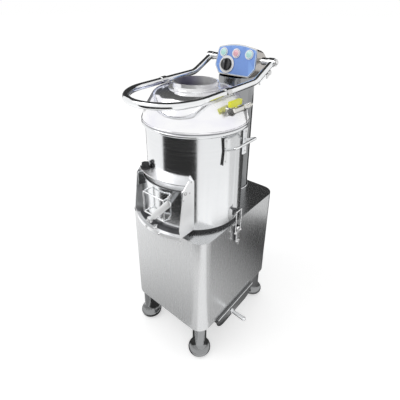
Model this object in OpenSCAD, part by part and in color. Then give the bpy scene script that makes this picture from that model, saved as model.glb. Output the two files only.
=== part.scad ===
// Electric potato peeler, floor standing, in millimetres.
// The drum axis is upright. Every piece is drawn about that axis and then moved so
// that the middle of the whole outline stands over the origin, with the feet at z 0.
// The chute and its door face -Y, the control column stands at +Y.

/* [Cabinet] */
// Width of the cabinet
cab_w = 400; // [380:2:440]
// Distance from the drum axis to the front of the cabinet
cab_front = 196; // [192:1:215]
// Distance from the drum axis to the rear of the cabinet
cab_rear = 335; // [325:1:360]
// Height of the cabinet walls
cab_h = 452; // [430:2:500]
// Radius of the upright corners
cab_corner_r = 55; // [40:1:65]
// Thickness of the cabinet, drum and column sheet
sheet = 2; // [1.5:0.1:3]
// Thickness of the floor pan
pan_t = 3; // [2:0.5:5]
// Width of the rear access cover
cover_w = 270; // [200:2:280]
// Height of the rear access cover
cover_h = 250; // [180:2:300]
// Cooling slots in the rear access cover
cover_slots = 7; // [4:1:9]

/* [Feet] */
// Height of the cabinet above the floor
leg_h = 166; // [156:1:190]
// Radius of the neck of a foot
foot_neck_r = 30; // [24:1:34]
// Largest radius of a foot
foot_r = 48.5; // [42:0.5:50]
// Radius of the rubber pad under a foot
foot_pad_r = 36; // [30:1:40]
// Half the distance between the left and right feet
foot_x = 154.6; // [140:0.2:160]
// Distance of the front feet ahead of the drum axis
foot_front = 151; // [146:1:160]
// Distance of the rear feet behind the drum axis
foot_rear = 290; // [275:1:300]
// Radius of the stud that holds a foot
stud_r = 6; // [5:0.5:8]

/* [Drum] */
// Outer radius of the drum
drum_r = 190; // [186:1:194]
// Height of the drum wall
drum_h = 384; // [370:2:420]
// Height of the rubber ring between cabinet and drum
gasket_h = 14; // [10:1:18]
// Radial width of that rubber ring
gasket_w = 16; // [12:1:20]
// Radius of the rolled edge of the drum
bead_r = 7.3; // [6:0.1:8]
// Thickness of the drum floor
drum_floor_t = 3; // [2:0.5:5]
// Thickness of the abrasive liner
liner_t = 4; // [3:0.5:5]
// Height of the abrasive liner
liner_h = 262; // [240:2:280]
// Wave strips on the abrasive liner
liner_strips = 8; // [4:1:10]

/* [Turntable and drive] */
// Gap between the turntable and the liner
table_gap = 4.7; // [3:0.1:7]
// Thickness of the turntable
table_t = 12; // [10:1:15]
// Rounded waves on the turntable
table_waves = 3; // [2:1:4]
// Height of a wave above the turntable
wave_h = 12; // [8:1:16]
// Radius of the main shaft
shaft_r = 12.5; // [10:0.5:15]
// Outer radius of a shaft bearing
bearing_r = 26; // [24:0.5:28]
// Height of a shaft bearing
bearing_h = 15; // [12:1:18]
// Length of the bearing housing under the cabinet top
housing_h = 146; // [130:2:160]
// Running radius of the large pulley
pulley_r = 85; // [75:1:92]
// Running radius of the motor pulley
motor_pulley_r = 24; // [18:1:32]
// Distance from the drum axis to the motor axis
motor_y = 235; // [225:1:240]
// Radius of the motor body
motor_r = 66; // [56:1:68]
// Height of the motor body
motor_h = 150; // [130:2:160]
// Cooling fins around the motor
motor_fins = 24; // [12:2:30]
// Width of the drive belt
belt_w = 12; // [8:1:14]
// Thickness of the drive belt
belt_t = 5; // [3:0.5:6]

/* [Waste water] */
// Radius of the waste pipe
waste_r = 25; // [20:1:27]
// Distance from the drum axis to the waste pipe
waste_x = 142; // [136:1:148]
// Width of the catch trough under the cabinet
trough_w = 273; // [250:1:280]
// Distance from the drum axis back to the middle of the trough
trough_y = 48.5; // [44:0.5:54]
// Height of the trough floor above the ground
trough_z = 100; // [92:1:110]
// Radius of the rounded lower edges of the trough
trough_round = 50; // [35:1:54]
// Radius of the drain outlet
drain_r = 20; // [16:1:22]
// Length of the tray handle
tray_handle_l = 68; // [50:1:90]
// Radius of the tray handle
tray_handle_r = 9; // [7:0.5:10]

/* [Chute and door] */
// Width of the chute over its cheeks
chute_w = 240; // [210:2:250]
// Thickness of the chute sheet
chute_t = 3; // [2:0.5:4]
// Reach of the chute lip from the drum axis
lip_reach = 248; // [240:1:258]
// Height of the turned down edge of the lip
lip_hem_h = 16; // [10:1:20]
// Outer radius of the curved door
door_r = 215; // [212:1:218]
// Height of the door
door_h = 161; // [150:1:166]
// Thickness of the door
door_t = 3; // [2:0.5:4]
// Width of the opening in the drum
window_w = 208; // [160:2:210]
// Half the distance between the legs of the door handle
door_wire_x = 52; // [40:1:60]
// Radius of the door handle wire
door_wire_r = 3; // [2.5:0.5:4]
// Length of the cam lever from its pivot
cam_l = 150; // [120:2:160]
// Lean of the cam lever from upright
cam_lean = 42; // [35:1:50]

/* [Column and control head] */
// Width of the column
col_w = 152; // [140:1:160]
// Depth of the column
col_d = 130; // [122:1:140]
// Radius of the column corners
col_corner_r = 60; // [45:1:60]
// Height of the column above the cabinet
col_h = 514; // [500:2:540]
// Lean of the control panel from upright
panel_lean = 13.9; // [8:0.1:20]
// Height of the control panel
head_h = 130; // [124:1:140]
// Largest half width of the control head
head_half_w = 100; // [94:1:106]
// Depth of the control head at its foot
head_d = 118; // [110:1:130]
// Thickness of the control head sheet
head_t = 2; // [1.5:0.1:3]
// Thickness of the blue panel plate
panel_t = 3; // [2:0.5:4]
// Radius of a push button
button_r = 15.5; // [12:0.5:17]
// Distance between neighbouring push buttons
button_pitch = 62; // [52:1:66]
// Travel of a push button
button_travel = 3; // [2:0.5:4]
// Radius of the timer knob
knob_r = 23; // [18:0.5:25]

/* [Safety bar and lid] */
// Radius of the safety bar tube
bar_r = 12.5; // [10:0.5:13]
// Half the distance between the bar's arms, and radius of its front bow
bar_half_w = 150; // [148:1:156]
// Distance of the bow's centre ahead of the drum axis
bow_y = 128; // [110:1:140]
// Height of the bar's arms above the lid's foot
bar_rise = 115; // [114:1:126]
// Slope of the bar's arms
bar_tilt = 2; // [1:0.1:3]
// Angle by which the arms bend up to the pivots
bend_a = 24; // [18:1:28]
// Length of the arms past the bends
arm_end_l = 110; // [100:1:120]
// Radius of the lid at its foot
lid_r = 202; // [200:1:206]
// Height of the lid dome
lid_h = 109; // [100:1:109]
// Wall thickness of the lid
lid_t = 4; // [3:0.5:5]
// Outer radius of the feed collar at its top
collar_r = 81; // [74:1:83]
// Height of the feed collar above the dome
collar_h = 23; // [16:1:28]

/* [Side handles and latches] */
// Length of a side handle between its straps
handle_l = 125; // [110:1:130]
// Reach of a side handle from the drum axis
handle_reach = 232; // [225:1:240]
// Radius of a side handle rod
handle_rod_r = 5; // [4:0.5:6]
// Height of the handle straps
strap_h = 102; // [80:2:110]
// Angle by which the side handles rise outwards
handle_rise = 24; // [0:1:35]
// Width of a draw latch
latch_w = 20; // [16:1:24]
// Height of a latch plate
latch_h = 72; // [60:1:80]

/* [Water valve] */
// Radius of the valve barrel
valve_r = 11; // [9:0.5:12]
// Radius of the hose tail
hose_r = 7; // [6:0.5:9]
// Length of the valve lever
valve_lever_l = 62; // [50:1:66]

/* [Clearances] */
// Gap around a static piece in its opening
fit_gap = 0.3; // [0.2:0.05:0.5]
// Radial running clearance of a turning pin
run_gap = 0.06; // [0.03:0.01:0.09]

/* [Hidden] */
$fn = 128;

// Overrun of a cut past the face it opens
over = 1;
// Overlap and swelling of a bent bar where a straight one joins it
bend_lap = 0.6;
bend_swell = 0.05;

// Main heights
cab_top = leg_h + cab_h;
drum_z = cab_top + gasket_h;
drum_top = drum_z + drum_h;
head_z = cab_top + col_h;

// Rear access cover details
cover_lap = 15;
slot_share = 0.6;
slot_h = 6;
screw_in = 8;
screw_r = 4;

// Foot details
foot_round = 16;
foot_pad_h = 3;
foot_mid_z = foot_pad_h + foot_round;
foot_flare_r = 40;
foot_crease = 0.2;
foot_web_share = 0.6;
foot_flare_z = foot_mid_z + sqrt(pow(foot_flare_r + foot_round - foot_crease, 2)
    - pow(foot_neck_r + foot_flare_r - foot_r + foot_round, 2));
nut_h = 8;

// Drive line, from the top down
neck_r = bearing_r - 2 * sheet;
neck_up = 9;
neck_top = drum_z + drum_floor_t + neck_up;
seal_h = 8;
seal_r = 20;
hub_h = 7;
hub_r = 30;
hub_z = neck_top + seal_h + sheet;
table_z = hub_z + hub_h;
table_top = table_z + table_t;
table_r = drum_r - sheet - fit_gap - liner_t - table_gap;
nut_r = 21;
nut_up = 20;
nut_bore_h = 10;
flange_r = 70;
flange_t = 10;
flange_z = cab_top - sheet - flange_t;
housing_wall = 10;
housing_r = bearing_r + housing_wall;
housing_z = cab_top - sheet - housing_h;
belt_drop = 60;
belt_z = housing_z - belt_drop;
belt_dip = 0.1;
race_t = 3;
seal_wall = 2;
neck_gap = 1;
pulley_lip = 6;
pulley_lip_t = 3;
pulley_hub_r = 26;
pulley_hub_h = 38;
pulley_hole_r = 17;
shaft_tail = 6;
shaft_low = belt_z - pulley_hub_h / 2 - shaft_tail;
motor_shaft_r = 9.5;
fin_h = 5;
fin_t = 3;
mount_t = 6;
mount_up = 20;
mount_z = belt_z + mount_up;
motor_z = mount_z + mount_t;
rod_r = 6;
rod_in = 8;
rod_share = 0.97;
rod_half = (motor_r + fin_h) * rod_share;
motor_bore_h = 30;
motor_box_w = 46;
motor_box_d = 25;
motor_box_out = 18;
motor_bell_h = 10;
motor_bell_share = 0.8;
motor_tail = 28;

// Waste water details
tray_wall = 1.5;
tray_gap = 0.5;
trough_x0 = -140;
trough_x1 = cab_w / 2;
tray_down = 10;
tray_top = leg_h - tray_down;
tray_back_gap = 3;
tray_hem_gap = 2;
pipe_down = 6;
tray_lip = 5;
tray_lip_r = 4;
tray_front_t = 3;
tray_hole_r = 4;
tray_hole_pitch = 26;
tray_neck_l = 4.5;
tray_neck_r = 5.5;
tray_collar_t = 6;
tray_handle_down = 18;
tray_handle_z = leg_h - tray_handle_down;
tray_face = trough_x1 + tray_gap + tray_front_t;
handle_x0 = tray_face + 2 * tray_lip_r + tray_neck_l;
handle_tip = handle_x0 + tray_collar_t + tray_handle_l;
drain_l = 60;
drain_boss = 4;
drain_x = -60;

// Chute and door places
cheek_x = chute_w / 2;
cheek_in = cheek_x - chute_t;
throat_gap = 6;
throat_out = door_r - door_t - throat_gap;
throat_t = 3;
throat_sill = 2;
throat_up = 18;
throat_z0 = drum_z + throat_up;
throat_z1 = throat_z0 + door_h - throat_t;
door_up = 13;
door_z0 = drum_z + door_up;
door_top = door_z0 + door_h;
door_gap = 3;
door_half = cheek_in - door_gap;
door_seal_w = 10;
door_seal_over = 2;
door_seal_up = 3;
door_seal_down = 1;
hinge_in = 21;
hinge_y = -(door_r - hinge_in);
hinge_up = 6;
hinge_z = door_top + hinge_up;
hinge_pin_r = 4;
lug_r = 12;
lug_t = 3;
lug_down = 40;
hood_up = 26;
hood_z = hinge_z + hood_up;
hood_out = 9;
hood_r = door_r + hood_out;
lip_in_up = 15;
lip_in_z = drum_z + lip_in_up;
lip_out_up = 6;
lip_out_z = drum_z + lip_out_up;
wire_out = 20;
wire_y = -(door_r + wire_out);
wire_low = 42;
wire_z0 = door_z0 + wire_low;
wire_high = 130;
wire_z1 = door_z0 + wire_high;
cam_x = -16;
cam_up = 24;
cam_pivot = [cam_x, door_z0 + cam_up];
cam_gap = 2;
cam_y = wire_y - door_wire_r - cam_gap;
cam_t = 5;
cam_w = 24;
cam_toe = 13;
cam_neck_l = 30;
boss_r = 6;
boss_out = 6;
keeper_x = 4;
keeper_in = 12;
keeper_y = -lip_reach + keeper_in;
keeper_stud_r = 5;
keeper_nut_r = 9;
keeper_nut_h = 6;
keeper_nut_up = 3.5;
keeper_stud_in = 2;
bumper_r = 17;
bumper_h = 22;
bumper_step = 3;
bumper_x = -85;

// Corners of a chute cheek, measured from the pieces that they clear
cheek_top_in_share = 0.72;
cheek_foot_in_share = 0.76;
cheek_foot_out_share = 0.88;
cheek_top_down = 1;
cheek_top_up = 14;
cheek_top_back = 19;
cheek_brow_out = 10;
cheek_brow_up = 13;
cheek_chin_in = 21;
cheek_chin_up = 33;
cheek_foot_down = 2;

// Side handle places
handle_down = 70;
strap_w = 22;
strap_in = 15;
strap_out = 9;
strap_waist_share = 0.3;
handle_root = 4;
handle_bend_r = 12;

// Control head places
head_x = -4;
panel_y = 246;
head_foot_share = 0.75;
head_mid_share = 0.27;
head_top_share = 0.94;
head_shoulder_share = 0.86;
button_y_share = 0.69;
knob_y_share = 0.32;
knob_x = -38;
bezel_w = 3.5;
bezel_h = 2.5;
button_gap = 0.4;
knob_h = 14;
grip_w = 9;
grip_h = 10;
spindle_r = 5;
knob_ring_w = 5;
ring_r = knob_r + knob_ring_w;
knob_step = 1;
grip_share = 0.92;
spindle_l = 10;
plunger_l = 8;
plunger_in = 1;
hole_in = 4;
panel_edge = 3;
block_d = 16;
block_w = 22;
block_down = 8;
timer_w = 36;
timer_h = 34;

// Corner radii of the control head, from the left of its foot round to its left side
head_foot_r = 12;
head_side_r = 16;
head_shoulder_r = 14;
head_crown_r = 260;
head_crown_share = 1.015;
head_radii = [head_foot_r, head_foot_r, head_side_r, head_shoulder_r, head_crown_r,
    head_shoulder_r, head_side_r];

// Side profile of the control head
head_back_share = 0.44;
head_slope_share = 0.56;
head_slope_in_share = 0.8;
head_roof_share = 0.28;
head_roof_up = 10;

// Column places
col_front_in = 41;
col_flange = 3;
stay_x = 56;
stay_w = 24;
stay_l = 90;
stay_h = 22;
stay_down = 108;
stay_in_share = 0.85;
stay_back = 5;

// Safety bar places, in the sloping plane of the arms
lid_gasket_h = 4;
lid_z = drum_top + lid_gasket_h;
arm_z = lid_z + bar_rise;
bend_y = 150;
bend_r = 90;
bend_end = [bend_y + bend_r * sin(bend_a), bend_r * (1 - cos(bend_a))];
pivot_in = bend_end + arm_end_l * [cos(bend_a), sin(bend_a)];
pivot_y = pivot_in[0] * cos(bar_tilt) - pivot_in[1] * sin(bar_tilt);
pivot_z = arm_z + pivot_in[0] * sin(bar_tilt) + pivot_in[1] * cos(bar_tilt);
pivot_pin_r = 10;
eye_r = 17;
eye_over = 0.5;
eye_l = 2 * (bar_r + eye_over);
plate_t = 6;
plate_start = 2;
plate_l = 46;
plate_drop = 18;
saddle_l = 24;
saddle_y = -16;
saddle_t = 3;
saddle_tab = 38;
saddle_bolt_in = 8;
saddle_bolt_r = 5;
hub_in_share = 0.86;
pivot_cap_l = 5;
pivot_cap_r = 4;
pivot_hub_r = 5;
pivot_side = 8;
wing_share = 0.66;
wing_stem_r = 4;
wing_stem_l = 22;
wing_collar_h = 6;
wing_collar_r = 9;
wing_r = 9;
wing_t = 4;
wing_down = 18;
wing_span = 24;
wing_web_h = 10;

// Lid places
dome_top = lid_z + lid_h;
collar_flare = 10;
collar_foot_r = collar_r + collar_flare;
collar_drop = 19;
collar_wall = 3.5;
collar_lip_h = 12;
collar_lip_w = 3;
collar_flange_w = 8;
dome_hole_in = 2;

// Corners and radii of the dome's half section
dome_side_in = 13;
dome_side_share = 0.385;
dome_brow_in = 52;
dome_brow_down = 5;
dome_crown_in = 107;
dome_side_r = 120;
dome_brow_r = 40;
dome_crown_r = 60;

// Outer radius of the collar's wall at height z
function skin_r(z) =
    collar_r + (collar_foot_r - collar_r) * (dome_top + collar_h - z) / (collar_drop + collar_h);

// Water valve places, on the right of the lid
valve_in = 4;
valve_x = lid_r - valve_in;
valve_up = 66;
valve_z = lid_z + valve_up;
valve_y = -35;
valve_front = 22;
valve_rear = 55;
hose_l = 47;
nipple_r = 8;
valve_lever_w = 13;
valve_lever_h = 18;
valve_stem_h = 12;
valve_stem_r = 5;
valve_nut_w = 3;
valve_nut_r = valve_r + valve_nut_w;
valve_nut_h = 12;
valve_over = 2;
nipple_l = 40;
hose_wall = 2;
hose_bore_up = 4;
lever_boss_h = 4;
lever_boss_w = 1;

// Latch places
latch_y = 14;
latch_down = 26;
latch_pivot_z = cab_top - latch_down;
latch_plate_t = 2.5;
ear_reach = 12;
latch_pin_r = 2.5;
latch_lever_l = 62;
latch_lever_t = 3;
bail_up = 84;
bail_wire_r = 2;
keeper_z = latch_pivot_z + bail_up;
latch_pin_in = 4;
latch_pin_x = cab_w / 2 + ear_reach - latch_pin_in;
lever_x = latch_pin_x + 2;
bail_x = lever_x + latch_lever_t / 2;
bail_down = 15;
bail_z = latch_pivot_z - bail_down;
bail_out = 7;
bail_side = latch_w / 2 + bail_out;
bail_eye_w = 3;
bail_eye_t = 2;
cross_pin_end = 3.5;
ear_t = 2;
ear_h = 16;
ear_gap = 1;
latch_plate_up = 10;
latch_knuckle = 2.5;
lever_curl_share = 2.5;
keeper_plate_h = 24;
keeper_plate_down = 26;
keeper_plate_t = 3;
keeper_root_share = 0.9;
keeper_tab_in = 3;
keeper_tab_gap = 3.3;

// Cable gland place
gland_x = -110;
gland_up = 45;
gland_z = leg_h + gland_up;
gland_bore_r = 5;
gland_r = 10;
gland_in = 14;
gland_out = 12;
gland_nut_w = 5;
gland_nut_h = 8;
gland_back_nut_h = 6;

// Outline of the whole part, from the pieces that reach furthest each way
side_left = handle_reach + handle_rod_r;
bow_front = bow_y + bar_half_w;
front_reach = bow_front * cos(bar_tilt) + bar_r;
head_rear = panel_y + head_d;
mid_x = (handle_tip - side_left) / 2;
mid_y = (head_rear - front_reach) / 2;

// Moves a piece from the drum axis to the origin of the part
module at_axis() {
    translate([-mid_x, -mid_y, 0]) children();
}

// Rectangle with round corners, about its middle
module round_rect(w, d, r) {
    square([w - 2 * r, d], center = true);
    square([w, d - 2 * r], center = true);
    for (sx = [-1, 1], sy = [-1, 1]) {
        translate([sx * (w / 2 - r), sy * (d / 2 - r)]) circle(r);
    }
}

// Unit vector, and half the inner angle at b between a and c
function unit(v) = v / norm(v);
function half_angle(a, b, c) = acos(unit(a - b) * unit(c - b)) / 2;
function arc_start(a, b, c, r) = b + unit(a - b) * r / tan(half_angle(a, b, c));
function arc_end(a, b, c, r) = b + unit(c - b) * r / tan(half_angle(a, b, c));
function arc_mid(a, b, c, r) =
    b + unit(unit(a - b) + unit(c - b)) * r / sin(half_angle(a, b, c));

// Convex outline whose corners are true arcs, each with its own radius
module rounded_outline(points, radii) {
    n = len(points);
    polygon([for (i = [0 : n - 1]) let (
        a = points[(i + n - 1) % n],
        b = points[i],
        c = points[(i + 1) % n]
    ) each radii[i] > 0 ? [arc_start(a, b, c, radii[i]), arc_end(a, b, c, radii[i])] : [b]]);
    for (i = [0 : n - 1]) {
        a = points[(i + n - 1) % n];
        b = points[i];
        c = points[(i + 1) % n];
        r = radii[i];
        if (r > 0) {
            intersection() {
                translate(arc_mid(a, b, c, r)) circle(r);
                polygon([arc_start(a, b, c, r), b, arc_end(a, b, c, r)]);
            }
        }
    }
}

// Extrudes an outline drawn in the Y-Z plane along X, between x0 and x1
module along_x(x0, x1) {
    translate([x0, 0, 0]) rotate([90, 0, 90]) linear_extrude(x1 - x0) children();
}

// Round bar along X, along Y or upright
module bar_x(x0, x1, y, z, r) {
    translate([x0, y, z]) rotate([0, 90, 0]) cylinder(r = r, h = x1 - x0);
}
module bar_y(y0, y1, x, z, r) {
    translate([x, y0, z]) rotate([-90, 0, 0]) cylinder(r = r, h = y1 - y0);
}
module bar_z(z0, z1, x, y, r) {
    translate([x, y, z0]) cylinder(r = r, h = z1 - z0);
}

// Upright tube about the drum axis
module ring(z0, z1, r_in, r_out) {
    translate([0, 0, z0]) difference() {
        cylinder(r = r_out, h = z1 - z0);
        translate([0, 0, -over]) cylinder(r = r_in, h = z1 - z0 + 2 * over);
    }
}

// Round bar bent in the X-Y plane about the origin, from angle a0 to a1. It swells
// and overlaps its straight neighbours by a hair, so that they join cleanly.
module bent_bar(bend_radius, a0, a1, r) {
    lap = bend_lap / bend_radius * 180 / PI;
    rotate([0, 0, a0 - lap]) rotate_extrude(angle = a1 - a0 + 2 * lap)
        translate([bend_radius, 0]) circle(r + bend_swell);
}

// Part of a tube that lies ahead of the drum axis, between x -half and x half
module front_arc(z0, z1, r_in, r_out, half) {
    intersection() {
        ring(z0, z1, r_in, r_out);
        translate([-half, -r_out - over, z0]) cube([2 * half, r_out + over, z1 - z0]);
    }
}

// Plan of the cabinet, drawn in by inset
module cab_plan(inset) {
    translate([0, (cab_rear - cab_front) / 2])
        round_rect(cab_w - 2 * inset, cab_front + cab_rear - 2 * inset, cab_corner_r - inset);
}

// Welded cabinet, open below, with holes for the shaft neck, the waste pipe, the
// cable gland and the rear access
module cabinet_shell() color("silver") at_axis() {
    difference() {
        translate([0, 0, leg_h]) linear_extrude(cab_h) cab_plan(0);
        translate([0, 0, leg_h - over]) linear_extrude(cab_h - sheet + over) cab_plan(sheet);
        bar_z(cab_top - sheet - over, cab_top + over, 0, 0, neck_r + fit_gap);
        bar_z(cab_top - sheet - over, cab_top + over, waste_x, 0, waste_r + fit_gap);
        translate([0, cab_rear, leg_h + cab_h / 2])
            cube([cover_w - 2 * cover_lap, 4 * sheet, cover_h - 2 * cover_lap], center = true);
        bar_y(cab_rear - sheet - over, cab_rear + over, gland_x, gland_z, gland_r + fit_gap);
    }
}

// Floor of the cabinet, which carries the feet and the trough
module floor_pan() color("gainsboro") at_axis() {
    difference() {
        translate([0, 0, leg_h]) linear_extrude(pan_t) cab_plan(sheet + fit_gap);
        for (sx = [-1, 1], y = [-foot_front, foot_rear]) {
            bar_z(leg_h - over, leg_h + pan_t + over, sx * foot_x, y, stud_r + fit_gap);
        }
        bar_z(leg_h - over, leg_h + pan_t + over, waste_x, 0, waste_r + fit_gap);
    }
}

// Screwed cover on the rear of the cabinet, with cooling slots
module access_cover() color("lightgray") at_axis() {
    slot_w = cover_w * slot_share;
    translate([0, cab_rear, leg_h + cab_h / 2]) {
        difference() {
            translate([-cover_w / 2, 0, -cover_h / 2]) cube([cover_w, sheet, cover_h]);
            for (i = [0 : cover_slots - 1]) {
                translate([0, 0, (i - (cover_slots - 1) / 2) * 3 * slot_h])
                    cube([slot_w, 4 * sheet, slot_h], center = true);
            }
        }
        for (sx = [-1, 1], sz = [-1, 1]) {
            bar_y(sheet, sheet + screw_r / 2, sx * (cover_w / 2 - screw_in),
                sz * (cover_h / 2 - screw_in), screw_r);
        }
    }
}

// Foot with a slim neck that flares into a bell, a pad, and a stud and nut through the pan
module foot(x, y) {
    color("silver") at_axis() translate([x, y, 0]) {
        rotate_extrude() {
            square([foot_neck_r, leg_h]);
            square([foot_pad_r, foot_mid_z]);
            translate([foot_r - foot_round, foot_mid_z]) circle(foot_round);
            translate([0, foot_mid_z - foot_round])
                square([foot_r - foot_round, 2 * foot_round]);
            difference() {
                translate([0, foot_mid_z])
                    square([foot_r - foot_round * (1 - foot_web_share), foot_flare_z - foot_mid_z]);
                translate([foot_neck_r + foot_flare_r, foot_flare_z]) circle(foot_flare_r);
            }
        }
        bar_z(leg_h - over, leg_h + pan_t + 2 * nut_h, 0, 0, stud_r);
        translate([0, 0, leg_h + pan_t]) cylinder(r = 2 * stud_r, h = nut_h, $fn = 6);
    }
}

module foot_front_left() foot(-foot_x, -foot_front);
module foot_front_right() foot(foot_x, -foot_front);
module foot_rear_left() foot(-foot_x, foot_rear);
module foot_rear_right() foot(foot_x, foot_rear);

// Rubber ring on which the drum stands
module base_gasket() color("black") at_axis() {
    ring(cab_top, drum_z, drum_r - sheet - gasket_w, drum_r - sheet);
}

// Drum with a rolled edge, a floor, the discharge opening and the waste outlet
module drum_shell() color("whitesmoke") at_axis() {
    difference() {
        union() {
            bar_z(drum_z, drum_top - bead_r, 0, 0, drum_r);
            translate([0, 0, drum_top - bead_r]) rotate_extrude()
                translate([drum_r + bead_r - sheet / 2, 0]) circle(bead_r);
        }
        bar_z(drum_z + drum_floor_t, drum_top + over, 0, 0, drum_r - sheet);
        bar_z(drum_z - over, drum_z + drum_floor_t + over, 0, 0, neck_r + fit_gap);
        bar_z(drum_z - over, drum_z + drum_floor_t + over, waste_x, 0, waste_r - sheet);
        translate([-window_w / 2, -drum_r - over, throat_z0 + throat_t])
            cube([window_w, drum_r / 2, throat_z1 - throat_z0 - 2 * throat_t]);
    }
}

// Abrasive liner inside the drum wall, with wave strips and the same opening
module abrasive_liner() color("dimgray") at_axis() {
    liner_up = 12;
    z0 = table_top + liner_up;
    r_out = drum_r - sheet - fit_gap;
    r_in = r_out - liner_t;
    strip_r = 9;
    strip_up = 5;
    liner_arc = 240;
    difference() {
        union() {
            ring(z0, z0 + liner_h, r_in, r_out);
            for (i = [0 : liner_strips - 1]) {
                rotate([0, 0, 90 + (i + 0.5 - liner_strips / 2) * liner_arc / liner_strips])
                    intersection() {
                        bar_z(z0, z0 + liner_h, r_in + strip_r - strip_up, 0, strip_r);
                        bar_z(z0, z0 + liner_h, 0, 0, r_out);
                    }
            }
        }
        translate([-window_w / 2, -drum_r - over, z0 - over])
            cube([window_w, drum_r / 2, throat_z1 - throat_t - z0 + over]);
    }
}

// Turntable with rounded waves on top and a hub below
module turntable() color("slategray") at_axis() {
    wave_r = 30;
    wave_in = nut_r + 6;
    wave_out = table_r - 4;
    difference() {
        union() {
            bar_z(hub_z, table_z + over, 0, 0, hub_r);
            bar_z(table_z, table_top, 0, 0, table_r);
            for (i = [0 : table_waves - 1]) {
                rotate([0, 0, 90 + i * 360 / table_waves]) intersection() {
                    bar_x(wave_in, table_r, 0, table_top + wave_h - wave_r, wave_r);
                    bar_z(table_z, table_top + 2 * wave_h, 0, 0, wave_out);
                }
            }
        }
        bar_z(hub_z - over, table_top + over, 0, 0, shaft_r + run_gap);
    }
}

// Domed nut that holds the turntable on the shaft
module turntable_nut() color("silver") at_axis() {
    difference() {
        intersection() {
            bar_z(table_top, table_top + nut_up, 0, 0, nut_r);
            translate([0, 0, table_top - nut_r / 4]) sphere(r = nut_r * 1.15);
        }
        bar_z(table_top - over, table_top + nut_bore_h + 2 * fit_gap, 0, 0, shaft_r + run_gap);
    }
}

// Main shaft from the large pulley to the turntable
module main_shaft() color("lightsteelblue") at_axis() {
    bar_z(shaft_low, table_top + nut_bore_h, 0, 0, shaft_r);
}

// Flanged housing under the cabinet top, with a neck up into the drum
module bearing_housing() color("gray") at_axis() {
    bolt_r = 4.5;
    difference() {
        union() {
            bar_z(flange_z, flange_z + flange_t, 0, 0, flange_r);
            bar_z(housing_z, flange_z + over, 0, 0, housing_r);
            bar_z(flange_z, neck_top, 0, 0, neck_r);
            for (i = [0 : 5]) {
                rotate([0, 0, 30 + i * 60])
                    bar_z(flange_z - bolt_r, flange_z + over, flange_r - 3 * bolt_r, 0, 2 * bolt_r);
            }
        }
        bar_z(housing_z - over, flange_z, 0, 0, bearing_r + run_gap);
        bar_z(flange_z - over, neck_top + over, 0, 0, shaft_r + neck_gap);
    }
}

// Two ball bearings, seen as rings with a recessed face
module bearings() color("darkgray") at_axis() {
    for (z = [housing_z, flange_z - bearing_h]) {
        difference() {
            ring(z, z + bearing_h, shaft_r + run_gap, bearing_r);
            ring(z - over, z + sheet, shaft_r + race_t, bearing_r - race_t);
        }
    }
}

// Lip seal on top of the neck
module shaft_seal() color("black") at_axis() {
    difference() {
        ring(neck_top, neck_top + seal_h, shaft_r + run_gap, seal_r);
        ring(neck_top + seal_h - sheet, neck_top + seal_h + over, shaft_r + seal_wall,
            seal_r - seal_wall);
    }
}

// Pulley rim for the belt, about the upright axis, at belt height
module pulley_rim(r) {
    half = belt_w / 2 + fit_gap;
    bar_z(belt_z - half, belt_z + half, 0, 0, r);
    for (z = [belt_z - half - pulley_lip_t, belt_z + half]) {
        bar_z(z, z + pulley_lip_t, 0, 0, r + pulley_lip);
    }
}

// Large pulley with lightening holes
module driven_pulley() color("dimgray") at_axis() {
    difference() {
        union() {
            pulley_rim(pulley_r);
            bar_z(belt_z - pulley_hub_h / 2, belt_z + pulley_hub_h / 2, 0, 0, pulley_hub_r);
        }
        bar_z(belt_z - pulley_hub_h, belt_z + pulley_hub_h, 0, 0, shaft_r + run_gap);
        for (i = [0 : 5]) {
            rotate([0, 0, i * 60]) bar_z(belt_z - belt_w, belt_z + belt_w,
                (pulley_r + pulley_hub_r) / 2, 0, pulley_hole_r);
        }
    }
}

// Outline round two circles and the straight runs between them, which cut a little into the circles
module belt_outline(r1, r2) {
    a = acos((r1 - r2) / motor_y);
    polygon([for (s = [-1, 1]) (r1 - belt_dip) * [s * sin(a), cos(a)],
        for (s = [1, -1]) (r2 - belt_dip) * [s * sin(a), cos(a)] + [0, motor_y]]);
    circle(r1);
    translate([0, motor_y]) circle(r2);
}

// Belt between the two pulleys
module drive_belt() color("black") at_axis() {
    translate([0, 0, belt_z - belt_w / 2]) linear_extrude(belt_w) difference() {
        belt_outline(pulley_r + fit_gap + belt_t, motor_pulley_r + fit_gap + belt_t);
        belt_outline(pulley_r + fit_gap, motor_pulley_r + fit_gap);
    }
}

// Upright motor with cooling fins, end bell and terminal box
module motor() color("darkslategray") at_axis() translate([0, motor_y, 0]) {
    box_w = motor_box_w;
    difference() {
        union() {
            bar_z(motor_z, motor_z + motor_h, 0, 0, motor_r);
            bar_z(motor_z + motor_h, motor_z + motor_h + motor_bell_h, 0, 0,
                motor_r * motor_bell_share);
            for (i = [0 : motor_fins - 1]) {
                rotate([0, 0, i * 360 / motor_fins])
                    translate([motor_r - over, -fin_t / 2, motor_z + 2 * fin_h])
                        cube([fin_h + over, fin_t, motor_h - 4 * fin_h]);
            }
            translate([-box_w / 2, -motor_r - motor_box_out, motor_z + (motor_h - box_w) / 2])
                cube([box_w, motor_box_d, box_w]);
        }
        bar_z(motor_z - over, motor_z + motor_bore_h, 0, 0, motor_shaft_r + run_gap);
    }
}

// Plate under the motor, hung from the cabinet top on four rods
module motor_mount() color("gray") at_axis() translate([0, motor_y, 0]) {
    plate_half = rod_half + rod_in;
    difference() {
        translate([-plate_half, -plate_half, mount_z])
            cube([2 * plate_half, 2 * plate_half, mount_t]);
        bar_z(mount_z - over, mount_z + mount_t + over, 0, 0, motor_shaft_r * 2);
    }
    for (sx = [-1, 1], sy = [-1, 1]) {
        bar_z(mount_z + mount_t, cab_top - sheet, sx * rod_half, sy * rod_half, rod_r);
    }
}

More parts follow.
